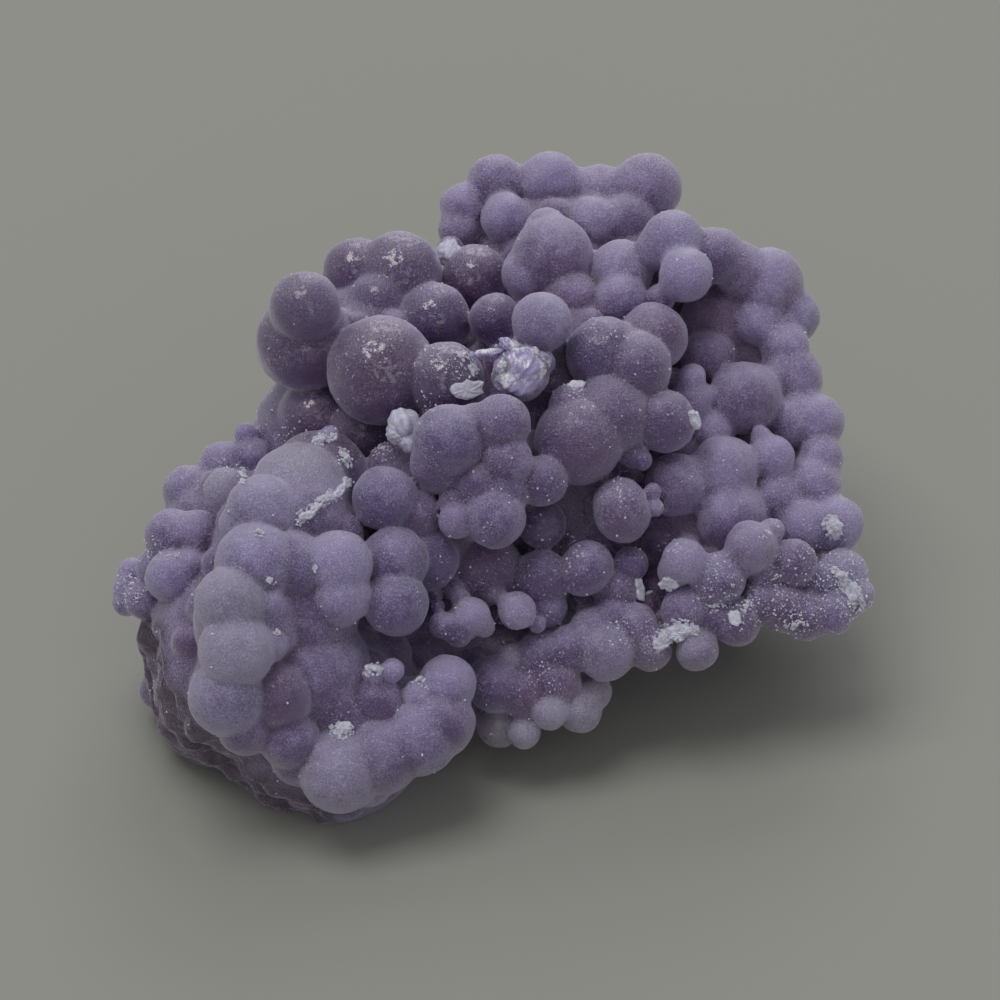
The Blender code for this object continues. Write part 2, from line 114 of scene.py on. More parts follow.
NEAR_CLUSTER = [
    (-3.2, 3.7, 4.2, 2.3), (-3.7, 2.35, 3.4, 1.95), (-2.8, 1.55, 3.6, 1.15), (0.1, 4.8, 4.2, 1.85),
    (-1.4, 4.6, 4, 1.5), (0.4, 2.6, 4.2, 1.6), (1.1, 2.1, 4.8, 0.85), (2.65, 1.2, 3.4, 1.6),
    (-1.2, 1, 4, 1.5), (0.4, 0.6, 4, 1.5), (-0.3, -1.1, 4.4, 1.95), (-2.7, -1.3, 4.4, 1.15),
    (-2.9, -0.1, 3.8, 0.95), (-7.2, 0.1, 4.2, 2.05), (-5.4, -0.9, 3.2, 1.7), (-6.6, -3.8, 5, 2.15),
    (-6.5, -6.5, 6, 2.05), (-4.6, -3.7, 2.8, 2),
]
LOBE = [
    (-12.6, 0.5, 2.4, 3.1), (-11.3, 1.2, -0.3, 3.2), (-11.2, 3.8, 1, 0.5), (-10.65, 4.1, 1.1, 0.6),
    (-17.1, 0.6, 1.4, 1.45), (-14.9, -0.7, 5.6, 2.3), (-16.3, -1.5, 5.6, 1.3), (-15.3, -4, 7.6, 2.6),
    (-12.9, -4.2, 6.6, 2.3), (-10.1, -4, 7, 2.15), (-9.9, -6, 7, 1.9), (-16.8, -6.4, 9, 2.3),
    (-14.6, -6.4, 8.6, 1.1), (-12.4, -7, 5.4, 1.8), (-16.5, -9.4, 9.4, 2.4), (-14.4, -9.1, 8.8, 1.1),
    (-17, -12.3, 8.4, 2.5), (-13.9, -12.2, 7.4, 2.2), (-15.9, -14.2, 7.4, 1.8),
    (-13.2, -14.9, 6.8, 1.9), (-11.2, -10.4, 5, 1.9), (-10.3, -12.7, 5.4, 1.9), (-9.4, -10.6, 5.8, 0.9),
    (-7.9, -10.9, 6.4, 0.7), (-6.7, -10.6, 6.4, 0.75), (-7.6, -12.6, 5.6, 1.6), (-5, -12.2, 5.8, 1.1),
    (-3.3, -11.5, 5.2, 1.85), (-3.8, -13.9, 5.4, 2.25), (-5, -14.9, 5.8, 2.35), (-7.4, -16, 6, 2.4),
    (-10, -17, 6.4, 2.6), (-8.2, -17.6, 5, 1.6), (-12.6, -16.2, 5.6, 1.7),
]
LEFT_EDGE = [
    (-20.5, -2.3, 0.3, 1.75), (-18.9, -2.2, 0.8, 1.6), (-20.6, -4.8, 2.2, 1.6), (-19.3, -4.4, 1.8, 1.4),
    (-21.8, -4.2, 0.4, 1), (-23, -4.5, -0.6, 0.9), (-23.2, -5.5, -0.6, 1), (-23.3, -6.4, -0.6, 0.9),
    (-22.2, -6.2, 0.2, 1.3), (-17.3, 2.1, -5, 1.6), (-19.4, 0.5, -4.5, 1.7), (-15.6, 2.6, -5.2, 1.3),
    (-15.9, 4.15, -5.2, 0.7),
]
SHELF = [
    (11.5, -3.8, 1.7, 1.45), (10.8, -4.5, 1.2, 0.9), (13.7, -4.9, 1, 1.7), (15.7, -2.9, 1.2, 1.65),
    (17, -1.9, 0.6, 0.8), (18.3, -3.9, 0.2, 1.5), (16.6, -4.4, 0.2, 1.2), (21.4, -4.6, -1.6, 1.6),
    (19.9, -5.2, -0.8, 1.2), (22.5, -5.9, -0.8, 0.95), (22, -6.5, -0.6, 0.8), (11.6, -6.9, 0.6, 1.6),
    (13.2, -7.3, 0.4, 1.3), (14.8, -7.7, 0.6, 1.5), (16.4, -6.3, 0, 1.4), (17.6, -6.8, 0.2, 1.5),
    (19.1, -7.2, -0.2, 1.6), (20.8, -7.1, -0.4, 1.4), (12.3, -9.35, 1.2, 1.35), (9.4, -9.4, 0.8, 1.35),
    (8.4, -7.9, 0.6, 1.5), (6.6, -9.5, 1.2, 1.85), (5.6, -7.9, 0.8, 1.2), (4.4, -9.2, 1.2, 1.4),
    (2.6, -9.7, 0.8, 1.6), (0.8, -9.9, 0.8, 0.95), (3.4, -11.3, 0.9, 1.7), (1.6, -12.1, 0.9, 1.6),
    (-0.3, -11.5, 1, 1.8), (3.15, -13.35, 2, 1.05), (1.55, -14.55, 1, 1.02), (-0.1, -14.1, -0.4, 1.4),
    (5, -13.2, 0.6, 1.38), (5.9, -12, -0.2, 1.15), (1.05, -6.9, 3, 1.22), (-1.75, -7.25, 4, 1.2),
    (-3.6, -7.8, 4.2, 0.85), (-2.6, -8.4, 4, 0.85), (-1, -7.9, 3.6, 0.7), (2.35, -7.8, 2.2, 0.55),
    (7, -7.2, 0.6, 1.2),
]
# The round knob's three balls and other white crumbs, which the CAD solid also has.
CRUMBS = [
    (-6, 4.75, 2.5, 1.02), (-5.7, 3.75, 2.5, 0.82), (-6.4, 4.25, 2.5, 0.75), (-2.6, 6.8, 2.7, 0.55),
    (-1.7, 7.1, 2.6, 0.5), (-10, -14.4, 8, 0.75), (8.6, -5.6, 1.1, 0.5), (10.3, -8.7, 1.7, 0.6),
    (11.3, -8.4, 1.7, 0.6), (12, -8.2, 1.5, 0.45),
]
# The white grape at the left end of the crest.
WHITE_GRAPE = (-3.2, 15.4, -9.0, 0.85)
# Single flakes of white crust as (across, rise, half width, half height, thickness, turn in degrees),
# laid on the skin where a line of sight through (across, rise) meets it.
FLAKES = [
    (-2.15, 6.95, 1.2, 0.55, 0.2, 14), (4.75, 7.15, 0.62, 0.32, 0.12, 20),
    (8.65, -5.6, 0.42, 0.75, 0.14, 12), (9.3, -5.85, 0.3, 0.08, 0.1, 35),
    (14.7, -7.4, 0.36, 0.62, 0.12, 30), (10.6, -5.1, 0.55, 0.6, 0.16, 60), (12, 5, 0.28, 0.66, 0.4, 25),
    (-2.5, 9.1, 0.4, 0.14, 0.08, 0), (-9.75, 1.05, 0.36, 0.3, 0.24, 60),
    (-10.15, 0.45, 0.72, 0.24, 0.3, 52), (-10.95, 0, 0.7, 0.26, 0.3, 12),
    (-11.55, -0.55, 0.52, 0.2, 0.26, 35), (-12.15, -1, 0.55, 0.28, 0.26, 25),
    (-9.9, -14.4, 0.62, 0.45, 0.3, 15),
]
# Crusts of white chips as (across, rise, half width, half height, turn in degrees, how many, chip size).
CHIP_PATCHES = [
    (-2.1, 9, 0.62, 0.24, 5, 40, 0.24), (-1.75, 8.3, 0.28, 0.58, 10, 40, 0.24),
    (-3.9, 8.7, 0.5, 0.4, 30, 16, 0.16), (-9.75, 0.85, 0.6, 0.35, 50, 40, 0.22),
    (-10.5, 0.2, 0.8, 0.45, 35, 50, 0.24), (-11.4, -0.35, 0.8, 0.35, 25, 40, 0.22),
    (-12.35, -1.1, 0.65, 0.42, 40, 40, 0.22), (-15.1, -2.2, 0.3, 0.25, 0, 14, 0.26),
    (-11.4, -4.3, 0.22, 0.22, 0, 10, 0.26), (-14.4, -5, 0.3, 0.24, 0, 12, 0.26),
    (-13.9, -8.3, 0.24, 0.24, 0, 10, 0.24), (-20.4, -3.6, 0.45, 0.2, 20, 14, 0.2),
    (-11, 3.75, 0.8, 0.32, 20, 60, 0.3), (-9.75, 2.6, 0.26, 0.75, 25, 50, 0.28),
    (-16.15, 1.4, 0.32, 0.55, 0, 40, 0.28), (-9.9, -14.45, 0.85, 0.6, -5, 50, 0.26),
    (-7.9, -10.65, 0.6, 0.34, 10, 34, 0.3), (-4.9, -11.5, 0.5, 0.4, 10, 16, 0.26),
    (10.2, -8.6, 0.8, 0.6, 50, 60, 0.26), (11, -8, 1, 0.6, 15, 90, 0.28),
    (11.9, -8.1, 0.6, 0.45, -25, 50, 0.24), (15.4, -6.7, 0.4, 0.24, 60, 22, 0.26),
    (20.8, -1.7, 0.5, 0.75, 10, 70, 0.34), (22, -6, 0.45, 1.05, 35, 80, 0.34),
    (21.2, -4.7, 0.85, 0.3, -40, 50, 0.3), (16.6, -2.2, 0.5, 0.3, 20, 14, 0.2),
    (13.4, -6.7, 0.7, 0.3, 20, 22, 0.2), (18.4, -7.7, 0.9, 0.3, 0, 24, 0.22),
    (-4.6, 5.9, 0.3, 0.3, 0, 8, 0.16), (-7.4, 3.2, 0.8, 0.5, 10, 30, 0.16),
]
# A clear, frosted shell, crumpled over one grape, as (across, rise, near, half axes and turn).
SHELL_LUMPS = [
    (1.25, 7.95, 2.5, 1.92, 1.8, 1.75, 10), (0.75, 9.55, 2.4, 1, 0.48, 0.8, -35),
    (-0.8, 9.2, 2.3, 1.3, 0.26, 0.45, 8), (2.6, 8.7, 2.5, 0.75, 0.6, 0.8, -30),
    (0.2, 8.2, 3, 0.95, 0.6, 0.8, 60),
]
# Lumps of white crust, in the same terms.
CRUST_LUMPS = [
    (10.2, -8.8, 1.9, 0.95, 0.55, 0.6, 40), (11.1, -8.3, 2, 0.9, 0.62, 0.6, 10),
    (12, -8.2, 1.8, 0.55, 0.5, 0.5, -20), (20.9, -1.7, -1.2, 0.55, 0.75, 0.6, 0),
    (22.3, -5.9, 0.1, 0.42, 1, 0.5, 25),
]
# Where sugar crystals crowd, as (across, rise, reach, how many).
SUGAR_PATCHES = [
    (-7.9, 9.6, 1.3, 40), (-3.8, 8.7, 1.1, 50), (-2.4, 8.3, 0.8, 40), (-4.4, 6.2, 0.8, 14),
    (0.2, 9.2, 0.9, 30), (4.6, 6.6, 0.9, 40), (5.2, 5.6, 1, 30), (8, 10, 1.6, 40), (5.8, 10.9, 0.8, 20),
    (-7.2, 3.2, 0.9, 45), (-9.8, 2.4, 0.6, 30), (-13, 4.3, 1, 40), (-17, 2, 0.9, 30),
    (7.4, 0.6, 1.1, 40), (4.6, -3.6, 1.2, 40), (10.8, -3, 0.9, 40), (13.8, -4.2, 1, 30),
    (7.6, -8.2, 1.2, 40), (3, -10.6, 1.6, 50), (9.8, -8.6, 1.2, 60), (15.2, -6.8, 1.4, 110),
    (17.4, -5.4, 2, 130), (18.8, -7.2, 1.7, 130), (21.2, -5, 1.9, 230), (22, -6.6, 1.2, 120),
    (20, -3.2, 1.8, 70), (13.2, -5.6, 1.6, 60), (-23.2, -5.4, 1.2, 110), (-21.8, -3.2, 1, 60),
]

# The heart of the specimen: lumps as (across, rise, near, radius), each under the grapes it carries.
HEART = [
    (-13, -4, 1.5, 5.2), (-15, -10, -1.5, 7.8), (-11.5, -13.5, -1, 7.2), (-17, -2, -5, 4.2),
    (-5, -2, -2.5, 5.5), (-11, 4, -8, 4.5), (-8, 9, -8, 4.8), (3, 0, -6.5, 6.3), (4, 7, -8, 6.5),
    (12, -1.5, -7.5, 5.8), (17.5, -2.5, -7.5, 4.8), (14, 8, -12.5, 5.2), (3.5, 14.5, -14.5, 5),
    (9, 13.5, -14, 4.8), (-6, -6.6, -7.2, 8), (2, -2, -13, 9), (7, 1, -14, 8.5),
]
# Lumps that fill the lobe's hollow, so that its grapes stand only half out of it.
LOBE_FILLING = [
    (-12, -10.8, 4.2, 4), (-12.2, -7.2, 4.8, 3.4), (-15.6, -12, 5, 3.8), (-15.6, -7.6, 6.2, 3.6),
    (-9.6, -13.8, 3.2, 3.8), (-12.8, -1.6, 3.2, 3.6), (-10.8, -5.2, 5, 2.6), (-2.3, -7.7, 3, 1.2),
]
# Grapes that stand out from their neighbours: (across, rise, change of shade, how colourless).
STANDOUTS = [
    (-7.4, 8.1, -0.25, 0), (-3.4, 7.5, -0.25, 0), (-12.2, 9.85, -0.15, 0), (-12.2, 12.05, 0.2, 0.1),
    (-1.6, 13.9, -0.3, 0), (2.6, 11.1, 0.4, 0.1), (1.3, 7.9, 0.4, 0.3), (11.6, 14.05, 0.25, 0),
    (13.7, 11.2, -0.3, 0), (13, 8.9, -0.25, 0), (15.3, 6.4, -0.2, 0), (11, 1, -0.25, 0),
    (14.4, -1.1, -0.15, 0), (2.6, -1.5, -0.25, 0), (7.5, -0.25, 0.25, 0.1), (7.65, -0.95, 0.25, 0.1),
    (9.55, 0.55, 0.4, 0.1), (9.75, -0.45, 0.4, 0.1), (5.5, -4.1, 0.2, 0), (-12.6, 0.5, 0.2, 0.8),
    (-11.3, 1.2, -0.7, 0.1), (-17.1, 0.6, 0.1, 0.6), (-14.9, -0.7, 0.2, 0.2), (-16.3, -1.5, 0.4, 0.1),
    (-10.1, -4, 0.2, 0), (-16.8, -6.4, 0.15, 0.6), (-16.5, -9.4, 0.15, 0.6), (-7.4, -16, -0.3, 0.1),
    (-3.8, -13.9, -0.25, 0), (-12.6, -16.2, -0.3, 0), (-13.9, -12.2, -0.45, 0),
    (-17, -12.3, -0.15, 0.2), (-12.9, -4.2, -0.2, 0), (-9.9, -6, -0.15, 0), (-11.2, -10.4, -0.45, 0),
    (-10.3, -12.7, -0.45, 0), (-7.6, -12.6, -0.4, 0), (-13.2, -14.9, -0.35, 0),
    (-15.9, -14.2, -0.35, 0), (-10, -17, 0.2, 0.4), (-4.6, -3.7, -0.4, 0), (11.5, -3.8, 0.4, 0.2),
    (15.7, -2.9, 0.3, 0.2), (17, -1.9, 0.3, 0.3), (-1.75, -7.25, 0.5, 0.1), (1.05, -6.9, 0.4, 0.2),
    (12.3, -9.35, 0.2, 0.5), (9.4, -9.4, 0.1, 0.3), (6.6, -9.5, 0.1, 0.3), (0.8, -9.9, 0.1, 0.4),
    (3.15, -13.35, 0.5, 0.7), (1.55, -14.55, 0.1, 0.8), (-0.1, -14.1, -0.3, 0.8), (5, -13.2, 0.1, 0.7),
    (5.9, -12, -0.1, 0.7), (21.4, -4.6, 0.3, 0.3), (22.5, -5.9, 0.4, 0.4),
]

# Broken faces at the lower left, as (outward direction, a point on the face), in the same terms. Their
# roughness is a few waves and a run of small steps, one for each layer that broke away.
BROKEN_FACES = [
    ((-0.93, -0.24, 0.28), (-21.3, -12.0, 0.0)),
    ((-0.55, -0.78, 0.295), (-15.3, -18.4, -0.85)),
]
BROKEN_WAVES = [
    (0.9, 0.35, 0.3, 0.4), (-0.5, 1.15, 0.22, 2.1), (1.9, -1.2, 0.16, 4), (2.6, 2.3, 0.1, 1.3),
]
LAYER_THICKNESS = 1.3
LAYER_STEP = 0.22


@dataclass(frozen=True)
class ViewPlane:
    """The upright-leaning plane on which the specimen's seen side was laid out."""

    elevation: float = math.radians(35)
    distance: float = 280
    table_below_middle: float = 19
    origin_shift: tuple[float, float] = (0.26, -16.14)
    picture_width: float = 62.5

    def axes(self) -> np.ndarray:
        """Across, rise and near as the rows of a matrix."""
        sine, cosine = math.sin(self.elevation), math.cos(self.elevation)
        return np.array([(1, 0, 0), (0, sine, cosine), (0, -cosine, sine)])

    def middle(self) -> np.ndarray:
        """The plane's middle in the specimen's frame."""
        return np.array([*self.origin_shift, 0.0]) + self.table_below_middle * self.axes()[1]

    def placed(self, rows: Sequence[tuple]) -> tuple[np.ndarray, np.ndarray]:
        """Turns balls given as they are seen into balls in the specimen's frame.

        The point is middle + k * (across, rise) + near, with k = (distance - near) / distance, because
        what stands nearer is smaller than it looks.

        Args:
            rows: Balls as (across, rise, near, radius) in mm.

        Returns:
            Centres as an n by 3 array, and radii.
        """
        table = np.array(rows, float)
        shrink = (self.distance - table[:, 2:3]) / self.distance
        offsets = np.hstack((table[:, :2] * shrink, table[:, 2:3]))
        return self.middle() + offsets @ self.axes(), table[:, 3] * shrink[:, 0]

    def as_seen(self, points: np.ndarray) -> np.ndarray:
        """Where points appear: across and rise on the plane, and how near they are."""
        offsets = (points - self.middle()) @ self.axes().T
        shrink = (self.distance - offsets[:, 2:3]) / self.distance
        return np.hstack((offsets[:, :2] / shrink, offsets[:, 2:3]))

    def eye(self) -> np.ndarray:
        """The place of the viewer's eye."""
        return self.middle() + self.distance * self.axes()[2]


# The parts of a ball's look, in the order in which Balls keeps them. The last one is what it is made of.
LOOKS = ("shade", "warmth", "frost", "clear", "matrix")


@dataclass
class Balls:
    """A set of round balls, each with its shade and what it is made of.

    Attributes:
        centres: Middle of each ball, n by 3, in mm.
        radii: Radius of each ball.
        shade: 0 for the deepest purple and 1 for the palest mauve.
        warmth: 0 for a bluish mauve and 1 for a pinkish one.
        frost: How much white dust lies on the ball, 0 to 1.
        clear: 0 for purple quartz and 1 for colourless quartz.
        matrix: 1 for the heart of the specimen, and 0 for a grape.
    """

    centres: np.ndarray
    radii: np.ndarray
    shade: np.ndarray
    warmth: np.ndarray
    frost: np.ndarray
    clear: np.ndarray
    matrix: np.ndarray

    @staticmethod
    def of(
        centres: np.ndarray,
        radii: np.ndarray,
        shade: float | np.ndarray = 0.5,
        warmth: float | np.ndarray = 0.5,
        frost: float | np.ndarray = 0.1,
        clear: float | np.ndarray = 0.0,
        matrix: float = 0.0,
    ) -> "Balls":
        """Balls that share a look, or have one each."""
        looks = (shade, warmth, frost, clear, matrix)
        looks = [np.broadcast_to(look, len(radii)).astype(float) for look in looks]
        return Balls(np.asarray(centres, float), np.asarray(radii, float), *looks)

    @staticmethod
    def together(groups: Iterable["Balls"]) -> "Balls":
        """Several sets as one."""
        groups = list(groups)
        names = ("centres", "radii", *LOOKS)
        return Balls(*(np.concatenate([getattr(group, name) for group in groups]) for name in names))


class Region(Enum):
    """A stretch of the seen crust: grapes, their shade, warmth and frost, and how far they have fused."""

    UPPER_LEFT = (UPPER_LEFT, 0.06, 0.40, 0.26, 0.0)
    CREST = (CREST, 0.62, 0.70, 0.12, 0.4)
    RIGHT_SHOULDER = (RIGHT_SHOULDER, 0.80, 0.85, 0.10, 0.4)
    MIDDLE = (MIDDLE, 0.22, 0.45, 0.36, 0.0)
    NEAR_CLUSTER = (NEAR_CLUSTER, 0.42, 0.35, 0.20, 0.0)
    LOBE = (LOBE, 0.80, 0.50, 0.08, 0.0)
    LEFT_EDGE = (LEFT_EDGE, 0.62, 0.45, 0.20, 0.3)
    SHELF = (SHELF, 0.45, 0.60, 0.42, 0.3)


@dataclass(frozen=True)
class BrokenFace:
    """A rough face where the heart was broken off."""

    place: np.ndarray
    level: np.ndarray
    downhill: np.ndarray
    outward: np.ndarray

    @staticmethod
    def of(direction: tuple, point: tuple, plane: ViewPlane) -> "BrokenFace":
        """The face with this outward direction through this point, both as they are seen."""
        outward = np.array(direction) @ plane.axes()
        outward = outward / np.linalg.norm(outward)
        level = np.cross((0, 0, 1), outward)
        level = level / np.linalg.norm(level)
        place = plane.middle() + np.array(point) @ plane.axes()
        return BrokenFace(place, level, np.cross(level, outward), outward)

    def height(self, points: np.ndarray) -> np.ndarray:
        """How far points are outside the rough face.

        The roughness is the sum of a few sine waves in the two directions along the face, and a saw of
        small steps, one for each layer that broke away.
        """
        along, down = (points - self.place) @ self.level, (points - self.place) @ self.downhill
        rough = np.zeros_like(along)
        for wave_along, wave_down, size, start in BROKEN_WAVES:
            rough += size * np.sin(wave_along * along + wave_down * down + start)
        layer = (down + 0.5 * np.sin(0.7 * along)) / LAYER_THICKNESS
        rough += LAYER_STEP * (layer - np.floor(layer) - 0.5)
        return (points - self.place) @ self.outward - rough


@dataclass
class HiddenCrust:
    """Grapes for the sides and the back, and small ones for the gaps of the seen side, placed by rule."""

    plane: ViewPlane
    breaks: list[BrokenFace]
    seed: int = 11
    candidates_per_mm2: float = 1.6
    hidden_radius: tuple[float, float] = (1.0, 3.1)
    hidden_sink: float = -0.05
    filler_radius: tuple[float, float] = (0.8, 1.5)
    filler_sink: float = 0.5
    size_skew: float = 1.8
    spacing: float = 0.88
    table_clearance: float = 0.9
    clear_of_break: float = 1.0
    steepest_underside: float = -0.72
    faces_eye: float = 0.1
    buried: float = -0.05
    rim_points: int = 12
    shades: tuple[float, float] = (0.30, 0.50)
    shade_spread: float = 0.12
    warmth: float = 0.55
    warmth_spread: float = 0.2
    frost: float = 0.12

    @staticmethod
    def spiral(count: int) -> np.ndarray:
        """Directions spread evenly over a sphere, on a golden-angle spiral from top to bottom."""
        step = np.arange(count) + 0.5
        height = 1 - 2 * step / count
        turn = step * math.pi * (3 - math.sqrt(5))
        ring = np.sqrt(1 - height**2)
        return np.stack((ring * np.cos(turn), ring * np.sin(turn), height), axis=1)

    def behind_outline(self, centres: np.ndarray, radii: np.ndarray, discs: np.ndarray) -> np.ndarray:
        """Which balls stay within the outline of the discs, as the viewer sees them."""
        turns = np.linspace(0, 2 * math.pi, self.rim_points, endpoint=False)
        circle = np.stack((np.cos(turns), np.sin(turns)), axis=1)
        rims = self.plane.as_seen(centres)[:, None, :2] + radii[:, None, None] * circle
        gaps = np.linalg.norm(rims[:, :, None] - discs[:, :2], axis=3) - discs[:, 3]
        return (gaps.min(axis=2) < 0).all(axis=1)

    def candidates(self, lumps: Balls, discs: np.ndarray) -> tuple[np.ndarray, np.ndarray, np.ndarray]:
        """Places for grapes on the outside of the heart, largest first.

        Args:
            lumps: The heart.
            discs: All balls of the seen side, as they are seen.

        Returns:
            Centres, radii, and whether each one faces the viewer.
        """
        random = np.random.default_rng(self.seed)
        counts = (4 * math.pi * lumps.radii**2 * self.candidates_per_mm2).astype(int)
        outward = np.vstack([self.spiral(count) for count in counts])
        reach = np.repeat(lumps.radii, counts)[:, None]
        surface = np.repeat(lumps.centres, counts, axis=0) + outward * reach
        toward = self.plane.eye() - surface
        facing = (outward * toward).sum(axis=1) / np.linalg.norm(toward, axis=1) > self.faces_eye
        smallest = np.where(facing, self.filler_radius[0], self.hidden_radius[0])
        largest = np.where(facing, self.filler_radius[1], self.hidden_radius[1])
        sink = np.where(facing, self.filler_sink, self.hidden_sink)
        radii = smallest + (largest - smallest) * random.uniform(0, 1, len(surface)) ** self.size_skew
        centres = surface - outward * (radii * sink)[:, None]

        gaps = np.linalg.norm(surface[:, None] - lumps.centres, axis=2) - lumps.radii
        good = gaps.min(axis=1) > self.buried
        good &= centres[:, 2] - radii > -self.table_clearance * radii
        good &= centres[:, 2] > self.table_clearance
        good &= outward[:, 2] > self.steepest_underside
        for face in self.breaks:
            good &= (surface - face.place) @ face.outward < -self.clear_of_break
        good &= self.behind_outline(centres, radii, discs)
        order = np.argsort(-radii[good])
        return centres[good][order], radii[good][order], facing[good][order]

    def grapes(self, seen: Balls, lumps: Balls, discs: np.ndarray) -> Balls:
        """Takes each candidate that no grape crowds, and gives each grape a look of its own."""
        centres, radii = seen.centres, seen.radii
        kept = []
        for centre, radius, facing in zip(*self.candidates(lumps, discs)):
            gaps = np.linalg.norm(centres - centre, axis=1)
            if (gaps > self.spacing * (radii + radius)).all():
                centres = np.vstack((centres, centre))
                radii = np.append(radii, radius)
                kept.append(facing)
        new = slice(len(seen.radii), None)
        random = np.random.default_rng(self.seed + 1)
        count, shade, warmth = len(kept), self.shade_spread, self.warmth_spread
        shade = np.where(kept, *self.shades) + random.uniform(-shade, shade, count)
        warmth = self.warmth + random.uniform(-warmth, warmth, count)
        return Balls.of(centres[new], radii[new], shade, warmth, self.frost)


@dataclass
class SkinField:
    """The skin of fused balls as a distance field on a grid.

    With gap the distance to a ball, the field is -fillet * ln(sum of exp(-gap / fillet)), which is the
    distance to the nearest ball, with a small fillet wherever two balls meet. The heart's gaps are no
    less than the height over each broken face, and the table cuts everything at z = 0.
    """

    balls: Balls
    breaks: list[BrokenFace]
    low: np.ndarray
    high: np.ndarray
    cell: float = 0.2
    fillet: float = 0.07
    reach: float = 0.8
    wobble: float = 0.09
    deepest: float = 1.2
    march: float = 0.25
    sight_depth: float = 28
    near_skin: float = 0.1
    values: np.ndarray = field(init=False, repr=False)

    def __post_init__(self) -> None:
        """Fills the grid, ball by ball, each in its own block."""
        shape = np.ceil((self.high - self.low) / self.cell).astype(int) + 1
        total = np.full(shape, math.exp(-self.reach / self.fillet), np.float32)
        axes = [self.low[a] + self.cell * np.arange(shape[a]) for a in range(3)]
        for centre, radius, matrix in zip(self.balls.centres, self.balls.radii, self.balls.matrix):
            first = ((centre - radius - self.reach - self.low) / self.cell).astype(int)
            last = ((centre + radius + self.reach - self.low) / self.cell).astype(int) + 2
            first, last = np.maximum(first, 0), np.minimum(last, shape)
            if (last <= first).any():
                continue
            block = tuple(slice(first[a], last[a]) for a in range(3))
            x, y, z = np.meshgrid(*(axes[a][block[a]] for a in range(3)), indexing="ij", sparse=True)
            gap = np.sqrt((x - centre[0]) ** 2 + (y - centre[1]) ** 2 + (z - centre[2]) ** 2) - radius
            if matrix:
                gap = self.trimmed(gap, x, y, z)
            total[block] += np.exp(-np.clip(gap, -self.deepest, self.reach) / self.fillet)
        x, y, z = np.meshgrid(*axes, indexing="ij", sparse=True)
        skin = -self.fillet * np.log(total) + self.wobble * self.unevenness(x, y, z)
        self.values = np.maximum(skin, -z).astype(np.float32)

    def trimmed(self, gap: np.ndarray, x: np.ndarray, y: np.ndarray, z: np.ndarray) -> np.ndarray:
        """The gaps to a lump of the heart, which ends at the broken faces."""
        points = np.stack(np.broadcast_arrays(x, y, z), axis=-1)
        for face in self.breaks:
            gap = np.maximum(gap, face.height(points))
        return gap

    @staticmethod
    def unevenness(x: np.ndarray, y: np.ndarray, z: np.ndarray) -> np.ndarray:
        """A slow ripple, from -1 to 1, that keeps grapes from being perfect balls."""
        slow = np.sin(1.9 * x + 0.7 * y) * np.sin(1.7 * y - 0.6 * z + 1) * np.sin(2.1 * z + 0.5 * x + 2)
        quick = np.sin(4.3 * x - 1.1 * z + 0.4) * np.sin(3.9 * y + 1.3 * x) * np.sin(4.1 * z - 0.9 * y)
        return 0.7 * slow + 0.3 * quick

    def sample(self, grid: np.ndarray, points: np.ndarray) -> np.ndarray:
        """Values of a grid between its nodes, by blending the eight nodes round each point."""
        place = (points - self.low) / self.cell
        place = np.clip(place, 0, np.array(grid.shape) - 1.001)
        corner = place.astype(int)
        part = place - corner
        result = np.zeros(len(points))
        for dx in (0, 1):
            for dy in (0, 1):
                for dz in (0, 1):
                    weight = np.prod(np.where((dx, dy, dz), part, 1 - part), axis=1)
                    result += weight * grid[corner[:, 0] + dx, corner[:, 1] + dy, corner[:, 2] + dz]
        return result

    def slope(self, points: np.ndarray) -> np.ndarray:
        """The field's gradient at points, from values one half cell to each side."""
        step = 0.5 * self.cell
        parts = []
        for axis in np.eye(3):
            ahead = self.sample(self.values, points + step * axis)
            behind = self.sample(self.values, points - step * axis)
            parts.append((ahead - behind) / (2 * step))
        return np.stack(parts, axis=1)

    def settled(self, points: np.ndarray, rounds: int = 2) -> np.ndarray:
        """Points moved onto the skin: each step goes down the slope by the field's value."""
        for _ in range(rounds):
            slope = self.slope(points)
            steepness = np.maximum((slope**2).sum(axis=1), 0.2)
            move = slope * (self.sample(self.values, points) / steepness)[:, None]
            points = points - np.clip(move, -0.5 * self.cell, 0.5 * self.cell)
        return points

    def hit(self, start: np.ndarray, ways: np.ndarray, reaches: np.ndarray, missed: float) -> tuple:
        """Where lines pass through the skin.

        Args:
            start: Where the lines start: one point, or one for each line.
            ways: Their directions, n by 3, each of length 1.
            reaches: Distances along them that are tried in turn. The last one inside counts.
            missed: The distance at which a line that is never inside keeps its point.

        Returns:
            Points on the skin and outward directions, n by 3 each.
        """
        points = start + ways * missed
        for reach in reaches:
            here = start + ways * reach
            inside = self.sample(self.values, here) < 0
            points[inside] = here[inside]
        points = self.settled(points, 3)
        return points, unit(self.slope(points))

    def met(self, plane: ViewPlane, spots: np.ndarray) -> tuple[np.ndarray, np.ndarray]:
        """Where lines of sight first meet the skin.

        Args:
            plane: The facing plane.
            spots: Where the lines cross it, as across and rise, n by 2.

        Returns:
            Points on the skin and outward directions. A line that misses keeps its farthest point.
        """
        eye, deep = plane.eye(), self.sight_depth
        ways = unit(plane.middle() + spots @ plane.axes()[:2] - eye)
        reaches = plane.distance + np.arange(deep, -deep, -self.march)
        return self.hit(eye, ways, reaches, plane.distance + deep)

    def on_skin(self, points: np.ndarray) -> np.ndarray:
        """Which points really lie on the skin."""
        return np.abs(self.sample(self.values, points)) < self.near_skin

